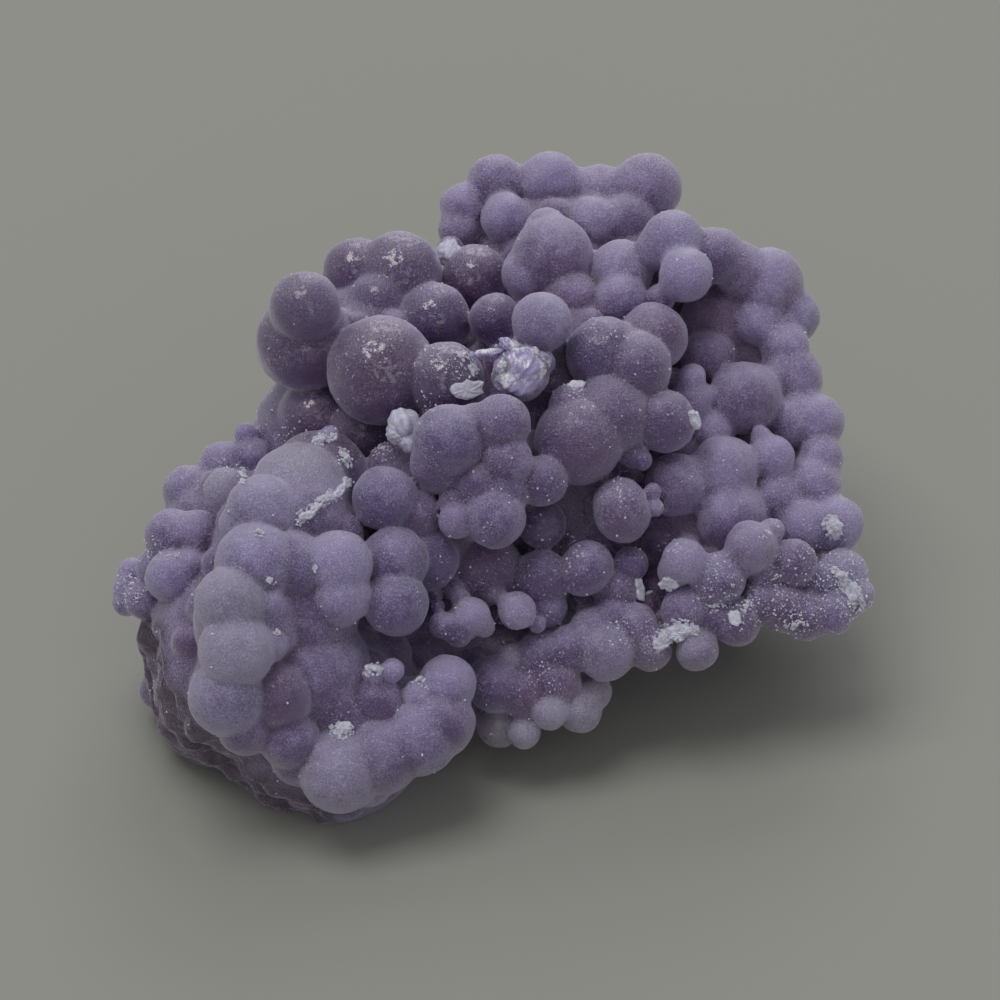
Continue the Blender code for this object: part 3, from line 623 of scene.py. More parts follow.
    def surroundings(self, radius: float) -> np.ndarray:
        """The share of solid within a cube of this half width round each node, by running sums."""
        share = (self.values < 0).astype(np.float32)
        wide = max(int(round(radius / self.cell)), 1)
        for axis in range(3):
            padded = np.concatenate((np.zeros_like(share.take([0], axis)), share), axis=axis)
            padded = padded.cumsum(axis=axis, dtype=np.float64)
            size = share.shape[axis]
            upper = np.minimum(np.arange(size) + wide + 1, size)
            lower = np.maximum(np.arange(size) - wide, 0)
            sums = padded.take(upper, axis) - padded.take(lower, axis)
            share = (sums / (2 * wide + 1)).astype(np.float32)
        return share


def surface_net(values: np.ndarray) -> tuple[np.ndarray, np.ndarray]:
    """The zero surface of a grid as points and four-sided faces.

    Each cell that the surface passes has one point, the mean of where the surface crosses the cell's
    edges. Each crossed edge has one face, through the points of the four cells round the edge.

    Args:
        values: The field at each node of the grid, negative inside.

    Returns:
        Points in units of the grid, and faces as four point numbers, with their fronts outwards.
    """
    inside = values < 0
    shape = np.array(values.shape)
    strides = np.array([shape[1] * shape[2], shape[2], 1])
    cells, crossings = [], []
    for axis in range(3):
        second, third = (axis + 1) % 3, (axis + 2) % 3
        inner = [slice(1, -1)] * 3
        inner[axis] = slice(0, -1)
        outer = [slice(1, -1)] * 3
        outer[axis] = slice(1, None)
        found = np.argwhere(inside[tuple(inner)] != inside[tuple(outer)])
        offset = np.ones(3, int)
        offset[axis] = 0
        node = found + offset
        ahead = node.copy()
        ahead[:, axis] += 1
        start, end = values[tuple(node.T)], values[tuple(ahead.T)]
        crossing = node.astype(float)
        crossing[:, axis] += start / (start - end)
        index = node @ strides
        ring = [(-1, -1), (0, -1), (0, 0), (-1, 0)]
        around = np.stack([index + b * strides[second] + c * strides[third] for b, c in ring], axis=1)
        around[start > 0] = around[start > 0][:, ::-1]
        cells.append(around)
        crossings.append(crossing)
    cells, crossings = np.vstack(cells), np.vstack(crossings)
    used, faces = np.unique(cells, return_inverse=True)
    faces = faces.reshape(-1, 4)
    count = np.bincount(faces.ravel(), minlength=len(used))
    points = np.stack(
        [np.bincount(faces.ravel(), np.repeat(crossings[:, a], 4), len(used)) / count for a in range(3)],
        axis=1,
    )
    return points, faces


def mesh_of(name: str, points: np.ndarray, faces: np.ndarray) -> bpy.types.Mesh:
    """A smooth-shaded mesh from whole arrays.

    Args:
        name: The mesh's name.
        points: Corners in mm, n by 3.
        faces: Corner numbers, m by 3 or m by 4.

    Returns:
        The mesh, in metres.
    """
    sides = faces.shape[1]
    data = bpy.data.meshes.new(name)
    data.vertices.add(len(points))
    data.vertices.foreach_set("co", (points * MM).astype(np.float32).ravel())
    data.loops.add(faces.size)
    data.loops.foreach_set("vertex_index", faces.astype(np.int32).ravel())
    data.polygons.add(len(faces))
    data.polygons.foreach_set("loop_start", np.arange(0, faces.size, sides, dtype=np.int32))
    data.update(calc_edges=True)
    data.validate()
    data.shade_smooth()
    return data


def corners_of(data: bpy.types.Mesh) -> np.ndarray:
    """A mesh's corners in mm, n by 3."""
    flat = np.empty(len(data.vertices) * 3, np.float32)
    data.vertices.foreach_get("co", flat)
    return flat.reshape(-1, 3).astype(float) / MM


def triangles_of(data: bpy.types.Mesh) -> np.ndarray:
    """A mesh's faces as triangles of corner numbers."""
    data.calc_loop_triangles()
    flat = np.empty(len(data.loop_triangles) * 3, np.int32)
    data.loop_triangles.foreach_get("vertices", flat)
    return flat.reshape(-1, 3)


def put_attribute(data: bpy.types.Mesh, name: str, values: np.ndarray) -> None:
    """Keeps one number for each corner of a mesh, for its material to read."""
    data.attributes.new(name, "FLOAT", "POINT").data.foreach_set("value", values.astype(np.float32))


def in_scene(name: str, data: bpy.types.ID) -> bpy.types.Object:
    """An object at the origin that shows the data."""
    item = bpy.data.objects.new(name, data)
    bpy.context.scene.collection.objects.link(item)
    return item


def dressed(data: bpy.types.Mesh, finish: bpy.types.Material) -> bpy.types.Object:
    """Shows a mesh in its finish, as a piece that rides the specimen's one body."""
    data.materials.append(finish)
    item = in_scene(data.name, data)
    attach(item, "root")
    return item


def unit(rows: np.ndarray) -> np.ndarray:
    """Each row scaled to length 1."""
    return rows / np.maximum(np.linalg.norm(rows, axis=1), 1e-6)[:, None]


def smoothstep(low: float, high: float, value: np.ndarray) -> np.ndarray:
    """0 below low, 1 above high, and a smooth climb between them."""
    share = np.clip((value - low) / (high - low), 0, 1)
    return share * share * (3 - 2 * share)


class Bench:
    """A material's node tree, with one way of adding nodes to it."""

    def __init__(self, name: str) -> None:
        """Starts a material with only its output node."""
        self.material = bpy.data.materials.new(name)
        self.material.use_nodes = True
        self.tree = self.material.node_tree
        self.tree.nodes.clear()
        self.output = self.tree.nodes.new("ShaderNodeOutputMaterial")

    def make(self, kind: str, settings: dict | None = None, inputs: dict | None = None) -> bpy.types.Node:
        """Adds a node.

        Args:
            kind: The node's type.
            settings: Properties, which are set first.
            inputs: Values or wires, by the socket's name or number.

        Returns:
            The node.
        """
        node = self.tree.nodes.new(kind)
        for name, value in (settings or {}).items():
            setattr(node, name, value)
        for name, value in (inputs or {}).items():
            if isinstance(value, Wire):
                self.tree.links.new(value.socket, node.inputs[name])
            else:
                node.inputs[name].default_value = value
        return node

    def wire(
        self, kind: str, settings: dict | None = None, inputs: dict | None = None, output: str | int = 0
    ) -> "Wire":
        """Adds a node and takes one of its outputs."""
        return Wire(self, self.make(kind, settings, inputs).outputs[output])

    def attribute(self, name: str) -> "Wire":
        """A number kept on the mesh's corners."""
        return self.wire("ShaderNodeAttribute", {"attribute_name": name}, output="Fac")

    def place(self) -> "Wire":
        """Object coordinates, in metres."""
        return self.wire("ShaderNodeTexCoord", output="Object")

    def noise(self, size: float, detail: float = 2.0, rough: float = 0.5, shift: float = 0.0) -> "Wire":
        """Cloudy noise whose lumps are about size mm across."""
        spot = self.wire(
            "ShaderNodeVectorMath", {"operation": "ADD"}, {0: self.place(), 1: (shift, shift * 0.7, -shift)}
        )
        inputs = {"Vector": spot, "Scale": 1 / (size * MM), "Detail": detail, "Roughness": rough}
        return self.wire("ShaderNodeTexNoise", None, inputs)

    def bump(self, strength: float, depth: float, height: "Wire") -> "Wire":
        """A normal roughened by a height, which stands for up to depth mm."""
        inputs = {"Strength": strength, "Distance": depth * MM, "Height": height}
        return self.wire("ShaderNodeBump", None, inputs, "Normal")

    def blend(self, share: "Wire | float", first: Any, second: Any) -> "Wire":
        """A colour between two colours."""
        node = self.make("ShaderNodeMix", {"data_type": "RGBA"}, {0: share})
        for number, colour in ((6, first), (7, second)):
            if isinstance(colour, Wire):
                self.tree.links.new(colour.socket, node.inputs[number])
            else:
                node.inputs[number].default_value = colour
        return Wire(self, node.outputs[2])

    def mixed(self, share: "Wire | float", first: "Wire", second: "Wire") -> "Wire":
        """A surface between two surfaces."""
        return self.wire("ShaderNodeMixShader", None, {0: share, 1: first, 2: second})

    def finish(self, surface: "Wire") -> bpy.types.Material:
        """Connects the surface and returns the material."""
        self.tree.links.new(surface.socket, self.output.inputs["Surface"])
        return self.material


@dataclass(frozen=True)
class Wire:
    """An output socket that can be used in sums: each operation adds a Math node."""

    bench: Bench
    socket: bpy.types.NodeSocket

    def maths(self, operation: str, *values: Any, clamp: bool = False) -> "Wire":
        """A Math node on these values, in order."""
        settings = {"operation": operation, "use_clamp": clamp}
        return self.bench.wire("ShaderNodeMath", settings, dict(enumerate(values)))

    def __add__(self, other: Any) -> "Wire":
        """self + other"""
        return self.maths("ADD", self, other)

    def __radd__(self, other: Any) -> "Wire":
        """other + self"""
        return self.maths("ADD", other, self)

    def __sub__(self, other: Any) -> "Wire":
        """self - other"""
        return self.maths("SUBTRACT", self, other)

    def __rsub__(self, other: Any) -> "Wire":
        """other - self"""
        return self.maths("SUBTRACT", other, self)

    def __mul__(self, other: Any) -> "Wire":
        """self * other"""
        return self.maths("MULTIPLY", self, other)

    def clamped(self) -> "Wire":
        """self, kept between 0 and 1"""
        return self.maths("ADD", self, 0.0, clamp=True)

    def rising(self, low: float, high: float) -> "Wire":
        """0 below low, 1 above high, and a smooth climb between them."""
        inputs = {"Value": self, "From Min": low, "From Max": high}
        return self.bench.wire("ShaderNodeMapRange", {"interpolation_type": "SMOOTHSTEP"}, inputs)


Colour = tuple[float, float, float, float]
# How far red, green and blue light spread within the quartz, as shares of its glow depth.
GLOW = (1.0, 0.85, 1.1)


def glow(weight: float, spread: tuple, depth: float) -> dict[str, Any]:
    """Inputs that let light spread below a surface, to a depth in mm."""
    return {"Subsurface Weight": weight, "Subsurface Radius": spread, "Subsurface Scale": depth * MM}


@dataclass(frozen=True)
class MauveQuartz:
    """Milky quartz with a frosted skin, dusted with white: paler on upward tops as painted top light, and
    deep purple in the gaps as painted shade.

    Attributes:
        deep: Painted shade in gaps and pits, and the deep tone of bare dark grapes.
        cool: Bluish mauve of the body.
        warm: Pinkish mauve of the body.
        pale: Milky colour, also painted top light on upward faces.
        dust: The white film and its specks.
        gloss: The pale rim of each grape.
        colourless: Grapes without purple.
        matrix: Dark stone of the heart.
        matrix_pale: Pale stone of the heart.
        sizes: How large the lumps of each noise are, in mm.
        glow_depth: How far light spreads within the quartz, in mm.
    """

    deep: Colour = (0.088, 0.042, 0.098, 1)
    cool: Colour = (0.080, 0.051, 0.180, 1)
    warm: Colour = (0.138, 0.064, 0.156, 1)
    pale: Colour = (0.390, 0.328, 0.580, 1)
    dust: Colour = (0.62, 0.59, 0.84, 1)
    gloss: Colour = (0.90, 0.84, 1.0, 1)
    colourless: Colour = (0.33, 0.31, 0.34, 1)
    matrix: Colour = (0.066, 0.040, 0.056, 1)
    matrix_pale: Colour = (0.19, 0.14, 0.18, 1)
    sizes: tuple[float, ...] = (2.6, 0.7, 0.11, 0.16, 1.6, 0.33, 0.9)
    glow_depth: float = 3.0

    def material(self) -> bpy.types.Material:
        """Builds the material from the numbers kept on the skin's corners."""
        bench = Bench("mauve_quartz")
        names = ("shade", "warmth", "gap", "pit", "frost", "matrix", "painted_top_light_and_dust", "clear")
        shade, warmth, gap, pit, frost, heart, painted_top_light_and_dust, clear = (bench.attribute(name) for name in names)
        cloud_size, mist_size, grain_size, speck_size, patch_size, glint_size, rock_size = self.sizes
        clouds, mist = bench.noise(cloud_size, 2.0), bench.noise(mist_size, 2.0, 0.6, 0.003)
        grain = bench.noise(grain_size, 1.0)
        bare = ((0.22 - shade) * 4).clamped() * (1 - gap) * (1 - pit) * (1 - heart)

        # The colour within: body, painted shade in gaps and pits over the deep tone of bare grapes, milk
        # with painted top light, clear grapes and stone, one over the other.
        tint = (warmth + (clouds - 0.5) * 0.9).clamped()
        colour = bench.blend(tint, self.cool, self.warm)
        # Painted shade: the colour darkens towards deep where the skin is hemmed in by gaps and pits.
        painted_shade_and_deep_tone = gap * 0.4 + pit * 0.5 + bare * 0.35 + (clouds - 0.5) * 0.4
        colour = bench.blend(painted_shade_and_deep_tone.clamped(), colour, self.deep)
        # Painted top light: unsheltered upward faces turn paler, while gaps and pits stay darker as painted
        # shade.
        milk_and_painted_light = shade + painted_top_light_and_dust * 0.22 + (clouds - 0.5) * 0.9 + (mist - 0.5) * 0.3 - gap * 0.3 - pit * 0.2
        milk_and_painted_light = milk_and_painted_light.rising(0.3, 1.2)
        colour = bench.blend(milk_and_painted_light * 0.8, colour, self.pale)
        colour = bench.blend(clear * 0.8, colour, self.colourless)
        veins = bench.noise(rock_size, 4.0, 0.7).rising(0.35, 0.75)
        colour = bench.blend(heart * 0.9, colour, bench.blend(veins, self.matrix, self.matrix_pale))

        # The dust on it: a fine film, and specks that crowd in patches. Both gather on unsheltered upward
        # faces, which also paints top light there, and the specks thin out in gaps as painted shade.
        film = (grain + (mist - 0.5) * 0.3).rising(0.46, 0.60) * (1 - bare * 0.7)
        film = film * (0.07 + shade * 0.08 + milk_and_painted_light * 0.26 + painted_top_light_and_dust * 0.08)
        specks = bench.noise(speck_size, 2.0, 0.6, 0.013).rising(0.59, 0.71)
        patches = (bench.noise(patch_size, 2.0, 0.6, 0.007) + frost * 0.45 + painted_top_light_and_dust * 0.08).rising(0.50, 0.80)
        rime = (film + specks * patches * (1 - gap * 0.7) * 0.9).clamped() * (1 - heart * 0.6)
        normal = bench.bump(0.8, 0.08, grain + rime * 2)

        # Bare grapes reflect the light in broken glints, and every grape has a pale rim.
        glints = bench.noise(glint_size, 3.0, 0.6, 0.017).rising(0.45, 0.58) * bare * 0.95
        roughness = (0.20 + milk_and_painted_light * 0.25 + heart * 0.3 + (grain - 0.5) * 0.4).clamped()
        inputs = {"Base Color": colour, "Roughness": roughness, "Normal": normal, "IOR": 1.54}
        inputs |= glow(1.0, GLOW, self.glow_depth)
        inputs |= {"Sheen Weight": 1.0, "Sheen Roughness": 0.30, "Sheen Tint": (0.86, 0.80, 1.0, 1)}
        inputs |= {"Coat Weight": glints, "Coat Roughness": 0.07, "Coat IOR": 1.9}
        gel = bench.wire("ShaderNodeBsdfPrincipled", {"subsurface_method": "RANDOM_WALK"}, inputs)
        inputs = {"Base Color": self.dust, "Roughness": 0.6, "Normal": normal}
        surface = bench.mixed(rime, gel, bench.wire("ShaderNodeBsdfPrincipled", None, inputs))
        inputs = {"Color": self.gloss, "Roughness": 0.45, "Normal": normal}
        gloss = bench.wire("ShaderNodeBsdfAnisotropic", None, inputs)
        edge = bench.wire("ShaderNodeLayerWeight", None, {"Blend": 0.10}, "Facing")
        return bench.finish(bench.mixed((edge * 2.0 * (1 - heart)).clamped(), surface, gloss))


@dataclass(frozen=True)
class WhiteCrust:
    """Opaque chalky quartz of the crumbs that grew on the grapes."""

    white: Colour = (0.78, 0.79, 0.95, 1)
    cream: Colour = (0.60, 0.57, 0.66, 1)

    def material(self) -> bpy.types.Material:
        """Chalk white with cream in its hollows and a sugary grain."""
        bench = Bench("white_crust")
        lumps, grain = bench.noise(0.5, 4.0, 0.6), bench.noise(0.12, 3.0, 0.6)
        colour = bench.blend((lumps + (grain - 0.5) * 0.4).rising(0.35, 0.65), self.cream, self.white)
        normal = bench.bump(0.5, 0.08, lumps * 0.6 + grain * 0.5)
        inputs = {"Base Color": colour, "Roughness": 0.55 + (grain - 0.5) * 0.4, "Normal": normal}
        inputs |= glow(0.3, (0.6, 0.6, 0.7), 0.5)
        return bench.finish(bench.wire("ShaderNodeBsdfPrincipled", None, inputs))


@dataclass(frozen=True)
class FrostedShell:
    """Clear quartz of the broken shell, frosted over."""

    ice: Colour = (0.40, 0.34, 0.58, 1)
    rime: Colour = (0.84, 0.83, 0.97, 1)

    def material(self) -> bpy.types.Material:
        """Lilac ice with rime in streaks and a wet shine."""
        bench = Bench("frosted_shell")
        streaks, grain = bench.noise(0.9, 3.0, 0.6), bench.noise(0.12, 2.0)
        colour = bench.blend((streaks + (grain - 0.5) * 0.5).rising(0.45, 0.62), self.ice, self.rime)
        normal = bench.bump(0.3, 0.05, streaks + grain)
        inputs = {"Base Color": colour, "Roughness": 0.1 + streaks * 0.25, "Normal": normal, "IOR": 1.54}
        inputs |= glow(0.7, GLOW, 0.8)
        inputs |= {"Coat Weight": 0.6, "Coat Roughness": 0.06, "Coat IOR": 1.7}
        return bench.finish(bench.wire("ShaderNodeBsdfPrincipled", None, inputs))


@dataclass(frozen=True)
class SugarQuartz:
    """Clear, bright quartz of the tiny crystals."""

    clear: Colour = (0.85, 0.84, 0.95, 1)
    milky: Colour = (0.55, 0.52, 0.70, 1)

    def material(self) -> bpy.types.Material:
        """Near white, with a lilac cast that comes and goes, and sharp reflections."""
        bench = Bench("sugar_quartz")
        drift = bench.noise(0.8, 2.0)
        colour = bench.blend(drift.rising(0.35, 0.6), self.milky, self.clear)
        rough = 0.12 + drift * 0.2
        inputs = {"Base Color": colour, "Roughness": rough, "IOR": 1.54}
        inputs |= glow(0.4, (1, 1, 1), 0.1)
        return bench.finish(bench.wire("ShaderNodeBsdfPrincipled", None, inputs))


@dataclass(frozen=True)
class PaleTable:
    """A plain pale surface for the specimen to stand on."""

    colour: Colour = (0.37, 0.372, 0.336, 1)

    def material(self) -> bpy.types.Material:
        """A matt surface with a very faint mottle."""
        bench = Bench("pale_table")
        mottle = bench.noise(40, 2.0)
        colour = bench.blend(mottle, self.colour, tuple(0.97 * part for part in self.colour[:3]) + (1,))
        surface = bench.wire("ShaderNodeBsdfPrincipled", None, {"Base Color": colour, "Roughness": 0.75})
        return bench.finish(surface)


@dataclass
class Crust:
    """The specimen's skin: heart, stems and grapes, fused and cut flat underneath."""

    plane: ViewPlane
    stem_share: float = 0.48
    stem_balls: int = 6
    margin: float = 0.7
    most_faces: int = 196000
    seed: int = 3
    shade_spread: float = 0.17
    warmth_spread: float = 0.28
    frost_spread: float = 0.15
    small_paler: float = 0.10
    usual_radius: float = 1.9
    stem_painted_shade: float = 0.45
    bridge_reach: float = 0.98
    look_blend: float = 0.12
    points_at_once: int = 8000
    gap_reach: float = 0.7
    pit_reach: float = 2.4
    shelter_height: float = 3.0

    def breaks(self) -> list[BrokenFace]:
        """The broken faces in the specimen's frame."""
        return [BrokenFace.of(direction, point, self.plane) for direction, point in BROKEN_FACES]

    def seen(self) -> Balls:
        """The grapes of the seen side, each with its region's look and a small change of its own."""
        random = np.random.default_rng(self.seed)
        groups = []
        for region in Region:
            rows, shade, warmth, frost, _ = region.value
            centres, radii = self.plane.placed(rows)
            spread = random.uniform(-1, 1, (3, len(rows)))
            lift, clear = self.standing_out(rows)
            paler = self.small_paler * np.clip(self.usual_radius - radii, -0.6, 1.0)
            own_shade = shade + lift + paler + self.shade_spread * spread[0]
            own_warmth = warmth + self.warmth_spread * spread[1]
            own_frost = frost + self.frost_spread * spread[2] ** 2
            groups.append(Balls.of(centres, radii, own_shade, own_warmth, own_frost, clear))
        return Balls.together(groups)

    @staticmethod
    def standing_out(rows: Sequence[tuple]) -> tuple[np.ndarray, np.ndarray]:
        """How each grape's shade is changed, and how colourless it is."""
        marks = {(across, rise): (lift, clear) for across, rise, lift, clear in STANDOUTS}
        found = np.array([marks.get(row[:2], (0.0, 0.0)) for row in rows])
        return found[:, 0], found[:, 1]

    def bridges(self, grapes: Balls) -> Balls:
        """Balls between fused neighbours, which make the creases between them shallow.

        Two grapes of radii a and b whose middles are d apart meet in a circle of radius c. The bridge
        lies at the circle's middle, with the radius c + fused * (smaller of a and b - c).
        """
        fused = np.concatenate([np.full(len(region.value[0]), region.value[4]) for region in Region])
        first, second = np.triu_indices(len(fused), 1)
        apart = grapes.centres[second] - grapes.centres[first]
        d = np.linalg.norm(apart, axis=1)
        a, b = grapes.radii[first], grapes.radii[second]
        near = (d < self.bridge_reach * (a + b)) & (d > 0.6 * np.maximum(a, b))
        near &= np.minimum(fused[first], fused[second]) > 0
        first, second, apart, d, a, b = (part[near] for part in (first, second, apart, d, a, b))
        share = np.clip(0.5 * (1 + (a**2 - b**2) / d**2), 0.1, 0.9)
        circle = np.sqrt(np.maximum(a**2 - (share * d) ** 2, 0))
        least = np.minimum(a, b)
        radii = circle + np.minimum(fused[first], fused[second]) * (least - circle) * 0.9
        looks = [
            getattr(grapes, name)[first] * (1 - share) + getattr(grapes, name)[second] * share
            for name in LOOKS[:4]
        ]
        centres = grapes.centres[first] + apart * share[:, None]
        return Balls.of(centres, radii, *looks)

    def stems(self, grapes: Balls, lumps: Balls) -> Balls:
        """Strings of small balls that tie the grapes which stand clear of the heart to its nearest lump."""
        gaps = np.linalg.norm(grapes.centres[:, None] - lumps.centres, axis=2) - lumps.radii
        nearest, gap = gaps.argmin(axis=1), gaps.min(axis=1)
        loose = gap > -0.3 * grapes.radii
        start = grapes.centres[loose]
        inward = unit(lumps.centres[nearest[loose]] - start)
        share = np.linspace(0, 1, self.stem_balls)
        reach = (gap[loose] + 1.0)[:, None] * share
        links = start[:, None] + inward[:, None] * reach[:, :, None]
        thick = (grapes.radii[loose] * self.stem_share)[:, None] * (1 + 0.3 * share)
        looks = [np.repeat(getattr(grapes, name)[loose], self.stem_balls) for name in LOOKS[:4]]
        # Painted shade: stems are coloured darker than their grapes, so that they recede between them.
        looks[0] = looks[0] - self.stem_painted_shade
        return Balls.of(links.reshape(-1, 3), thick.ravel(), *looks)

    def balls(self) -> Balls:
        """Every ball of the specimen."""
        seen = self.seen()
        centres, radii = self.plane.placed(CRUMBS)
        crumbs = Balls.of(centres, radii)
        lumps = self.lumps(HEART)
        discs = np.array([row for region in Region for row in region.value[0]] + CRUMBS + HEART, float)
        hidden = HiddenCrust(self.plane, self.breaks())
        more = hidden.grapes(Balls.together((seen, crumbs)), lumps, discs)
        grapes = Balls.together((seen, more))
        log.info("crust: %d seen and %d hidden grapes", len(seen.radii), len(more.radii))
        parts = (grapes, self.bridges(seen), self.stems(grapes, lumps), lumps, self.lumps(LOBE_FILLING))
        return Balls.together(parts)

    def lumps(self, rows: Sequence[tuple]) -> Balls:
        """Lumps of the heart, which is paler under the lobe than elsewhere."""
        shade = np.where(np.array(rows)[:, 0] < -9, 0.55, 0.22)
        return Balls.of(*self.plane.placed(rows), shade, 0.5, 0.05, 0.0, 1.0)

    def looks(self, balls: Balls, points: np.ndarray) -> dict[str, np.ndarray]:
        """Blends the balls' looks at points, each ball weighted by exp(-gap / look_blend)."""
        looks = np.stack([getattr(balls, name) for name in LOOKS], axis=1).astype(np.float32)
        centres, radii = balls.centres.astype(np.float32), balls.radii.astype(np.float32)
        blended = []
        chunks = max(len(points) // self.points_at_once, 1)
        for chunk in np.array_split(points.astype(np.float32), chunks):
            square = (chunk**2).sum(axis=1)[:, None] - 2 * chunk @ centres.T + (centres**2).sum(axis=1)
            gap = np.sqrt(np.maximum(square, 0)) - radii
            weight = np.exp(-(gap - gap.min(axis=1)[:, None]) / self.look_blend)
            blended.append(weight @ looks / weight.sum(axis=1)[:, None])
        blended = np.vstack(blended)
        return dict(zip(LOOKS, blended.T))

    def fewer_faces(self, data: bpy.types.Mesh) -> bpy.types.Mesh:
        """The same skin with long faces where it is nearly flat, and at most most_faces of them."""
        item = in_scene("fine_skin", data)
        fewer = item.modifiers.new("fewer", "DECIMATE")
        fewer.ratio = min(1.0, self.most_faces / (2 * len(data.polygons)))
        fewer.use_collapse_triangulate = True
        graph = bpy.context.evaluated_depsgraph_get()
        result = bpy.data.meshes.new_from_object(item.evaluated_get(graph))
        bpy.data.objects.remove(item)
        bpy.data.meshes.remove(data)
        return result

    def build(self) -> SkinField:
        """Makes the skin, dresses it, and lets it stand for the CAD node.

        Returns:
            The skin's field, on which the white crust and the sugar are laid.
        """
        balls = self.balls()
        low, high = (np.array(corner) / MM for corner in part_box(CAD_NODE))
        skin = SkinField(balls, self.breaks(), low - self.margin, high + self.margin)
        points, faces = surface_net(skin.values)
        points = skin.low + points * skin.cell
        log.info("crust: %d faces before thinning", 2 * len(faces))
        thin = self.fewer_faces(mesh_of("fine_skin", points, faces))
        points, faces = corners_of(thin), triangles_of(thin)
        bpy.data.meshes.remove(thin)
        points = skin.settled(points)
        points[:, 2] = np.maximum(points[:, 2], 0)
        data = mesh_of("grape_skin", points, faces)
        looks = self.looks(balls, points)
        nearest = np.max([face.height(points) for face in self.breaks()], axis=0)
        looks["matrix"] = looks["matrix"] * smoothstep(-0.8, -0.2, nearest)
        for name, values in looks.items():
            put_attribute(data, name, values)
        # The share of solid round each corner, close by and wider, which the material paints as shade in
        # gaps and pits.
        wide = skin.surroundings(self.pit_reach)
        close = skin.sample(skin.surroundings(self.gap_reach), points)
        put_attribute(data, "gap", smoothstep(0.42, 0.85, close))
        put_attribute(data, "pit", smoothstep(0.50, 0.90, skin.sample(wide, points)))
        # How far each corner faces up with nothing solid above it, which the material paints paler as top
        # light and dusts more thickly.
        slope = skin.slope(points)
        upward = slope[:, 2] / np.maximum(np.linalg.norm(slope, axis=1), 1e-6)
        shelter = skin.sample(wide, points + (0, 0, self.shelter_height))
        put_attribute(data, "painted_top_light_and_dust", smoothstep(0.0, 0.95, upward) * (1 - smoothstep(0.05, 0.45, shelter)))
        item = dressed(data, MauveQuartz().material())
        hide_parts(CAD_NODE)
        log.info("crust: %d faces", len(faces))
        return skin


def frames_on(outward: np.ndarray, sideways: np.ndarray) -> np.ndarray:
    """Right-angled frames that stand on a surface.

    Args:
        outward: The surface's outward directions, n by 3.
        sideways: Directions that the first axes should follow, n by 3.

    Returns:
        Frames as n by 3 by 3, with their axes as rows and the outward direction last.
    """
    first = unit(sideways - outward * (sideways * outward).sum(axis=1)[:, None])
    return np.stack((first, np.cross(outward, first), outward), axis=1)


def chips(
    centres: np.ndarray, frames: np.ndarray, jag: float, random: np.random.Generator
) -> tuple[np.ndarray, np.ndarray]:
    """Angular chips: twenty-sided solids whose corners are each moved in or out by up to jag.

    Args:
        centres: Middle of each chip in mm, n by 3.
        frames: The half axes of each chip as rows, n by 3 by 3.
        jag: Greatest move, as a share of the half axes.
        random: Chooses the moves.

    Returns:
        Corners and triangles of them all.
    """
    golden = (1 + math.sqrt(5)) / 2
    corners = np.array(
        [(sign * 1.0, other * golden, 0.0) for sign in (-1, 1) for other in (-1, 1)]
        + [(0.0, sign * 1.0, other * golden) for sign in (-1, 1) for other in (-1, 1)]
        + [(other * golden, 0.0, sign * 1.0) for sign in (-1, 1) for other in (-1, 1)]
    ) / math.hypot(1, golden)
    near = np.linalg.norm(corners[:, None] - corners, axis=2) < 1.1
    sides = [
        (a, b, c) if np.linalg.det(corners[[a, b, c]]) > 0 else (a, c, b)
        for a, b, c in combinations(range(12), 3)
        if near[a, b] and near[b, c] and near[a, c]
    ]
    moved = corners * (1 + random.uniform(-jag, jag, (len(centres), 12, 1)))
    points = centres[:, None] + moved @ frames
    faces = np.array(sides) + (np.arange(len(centres)) * 12)[:, None, None]
    return points.reshape(-1, 3), faces.reshape(-1, 3)


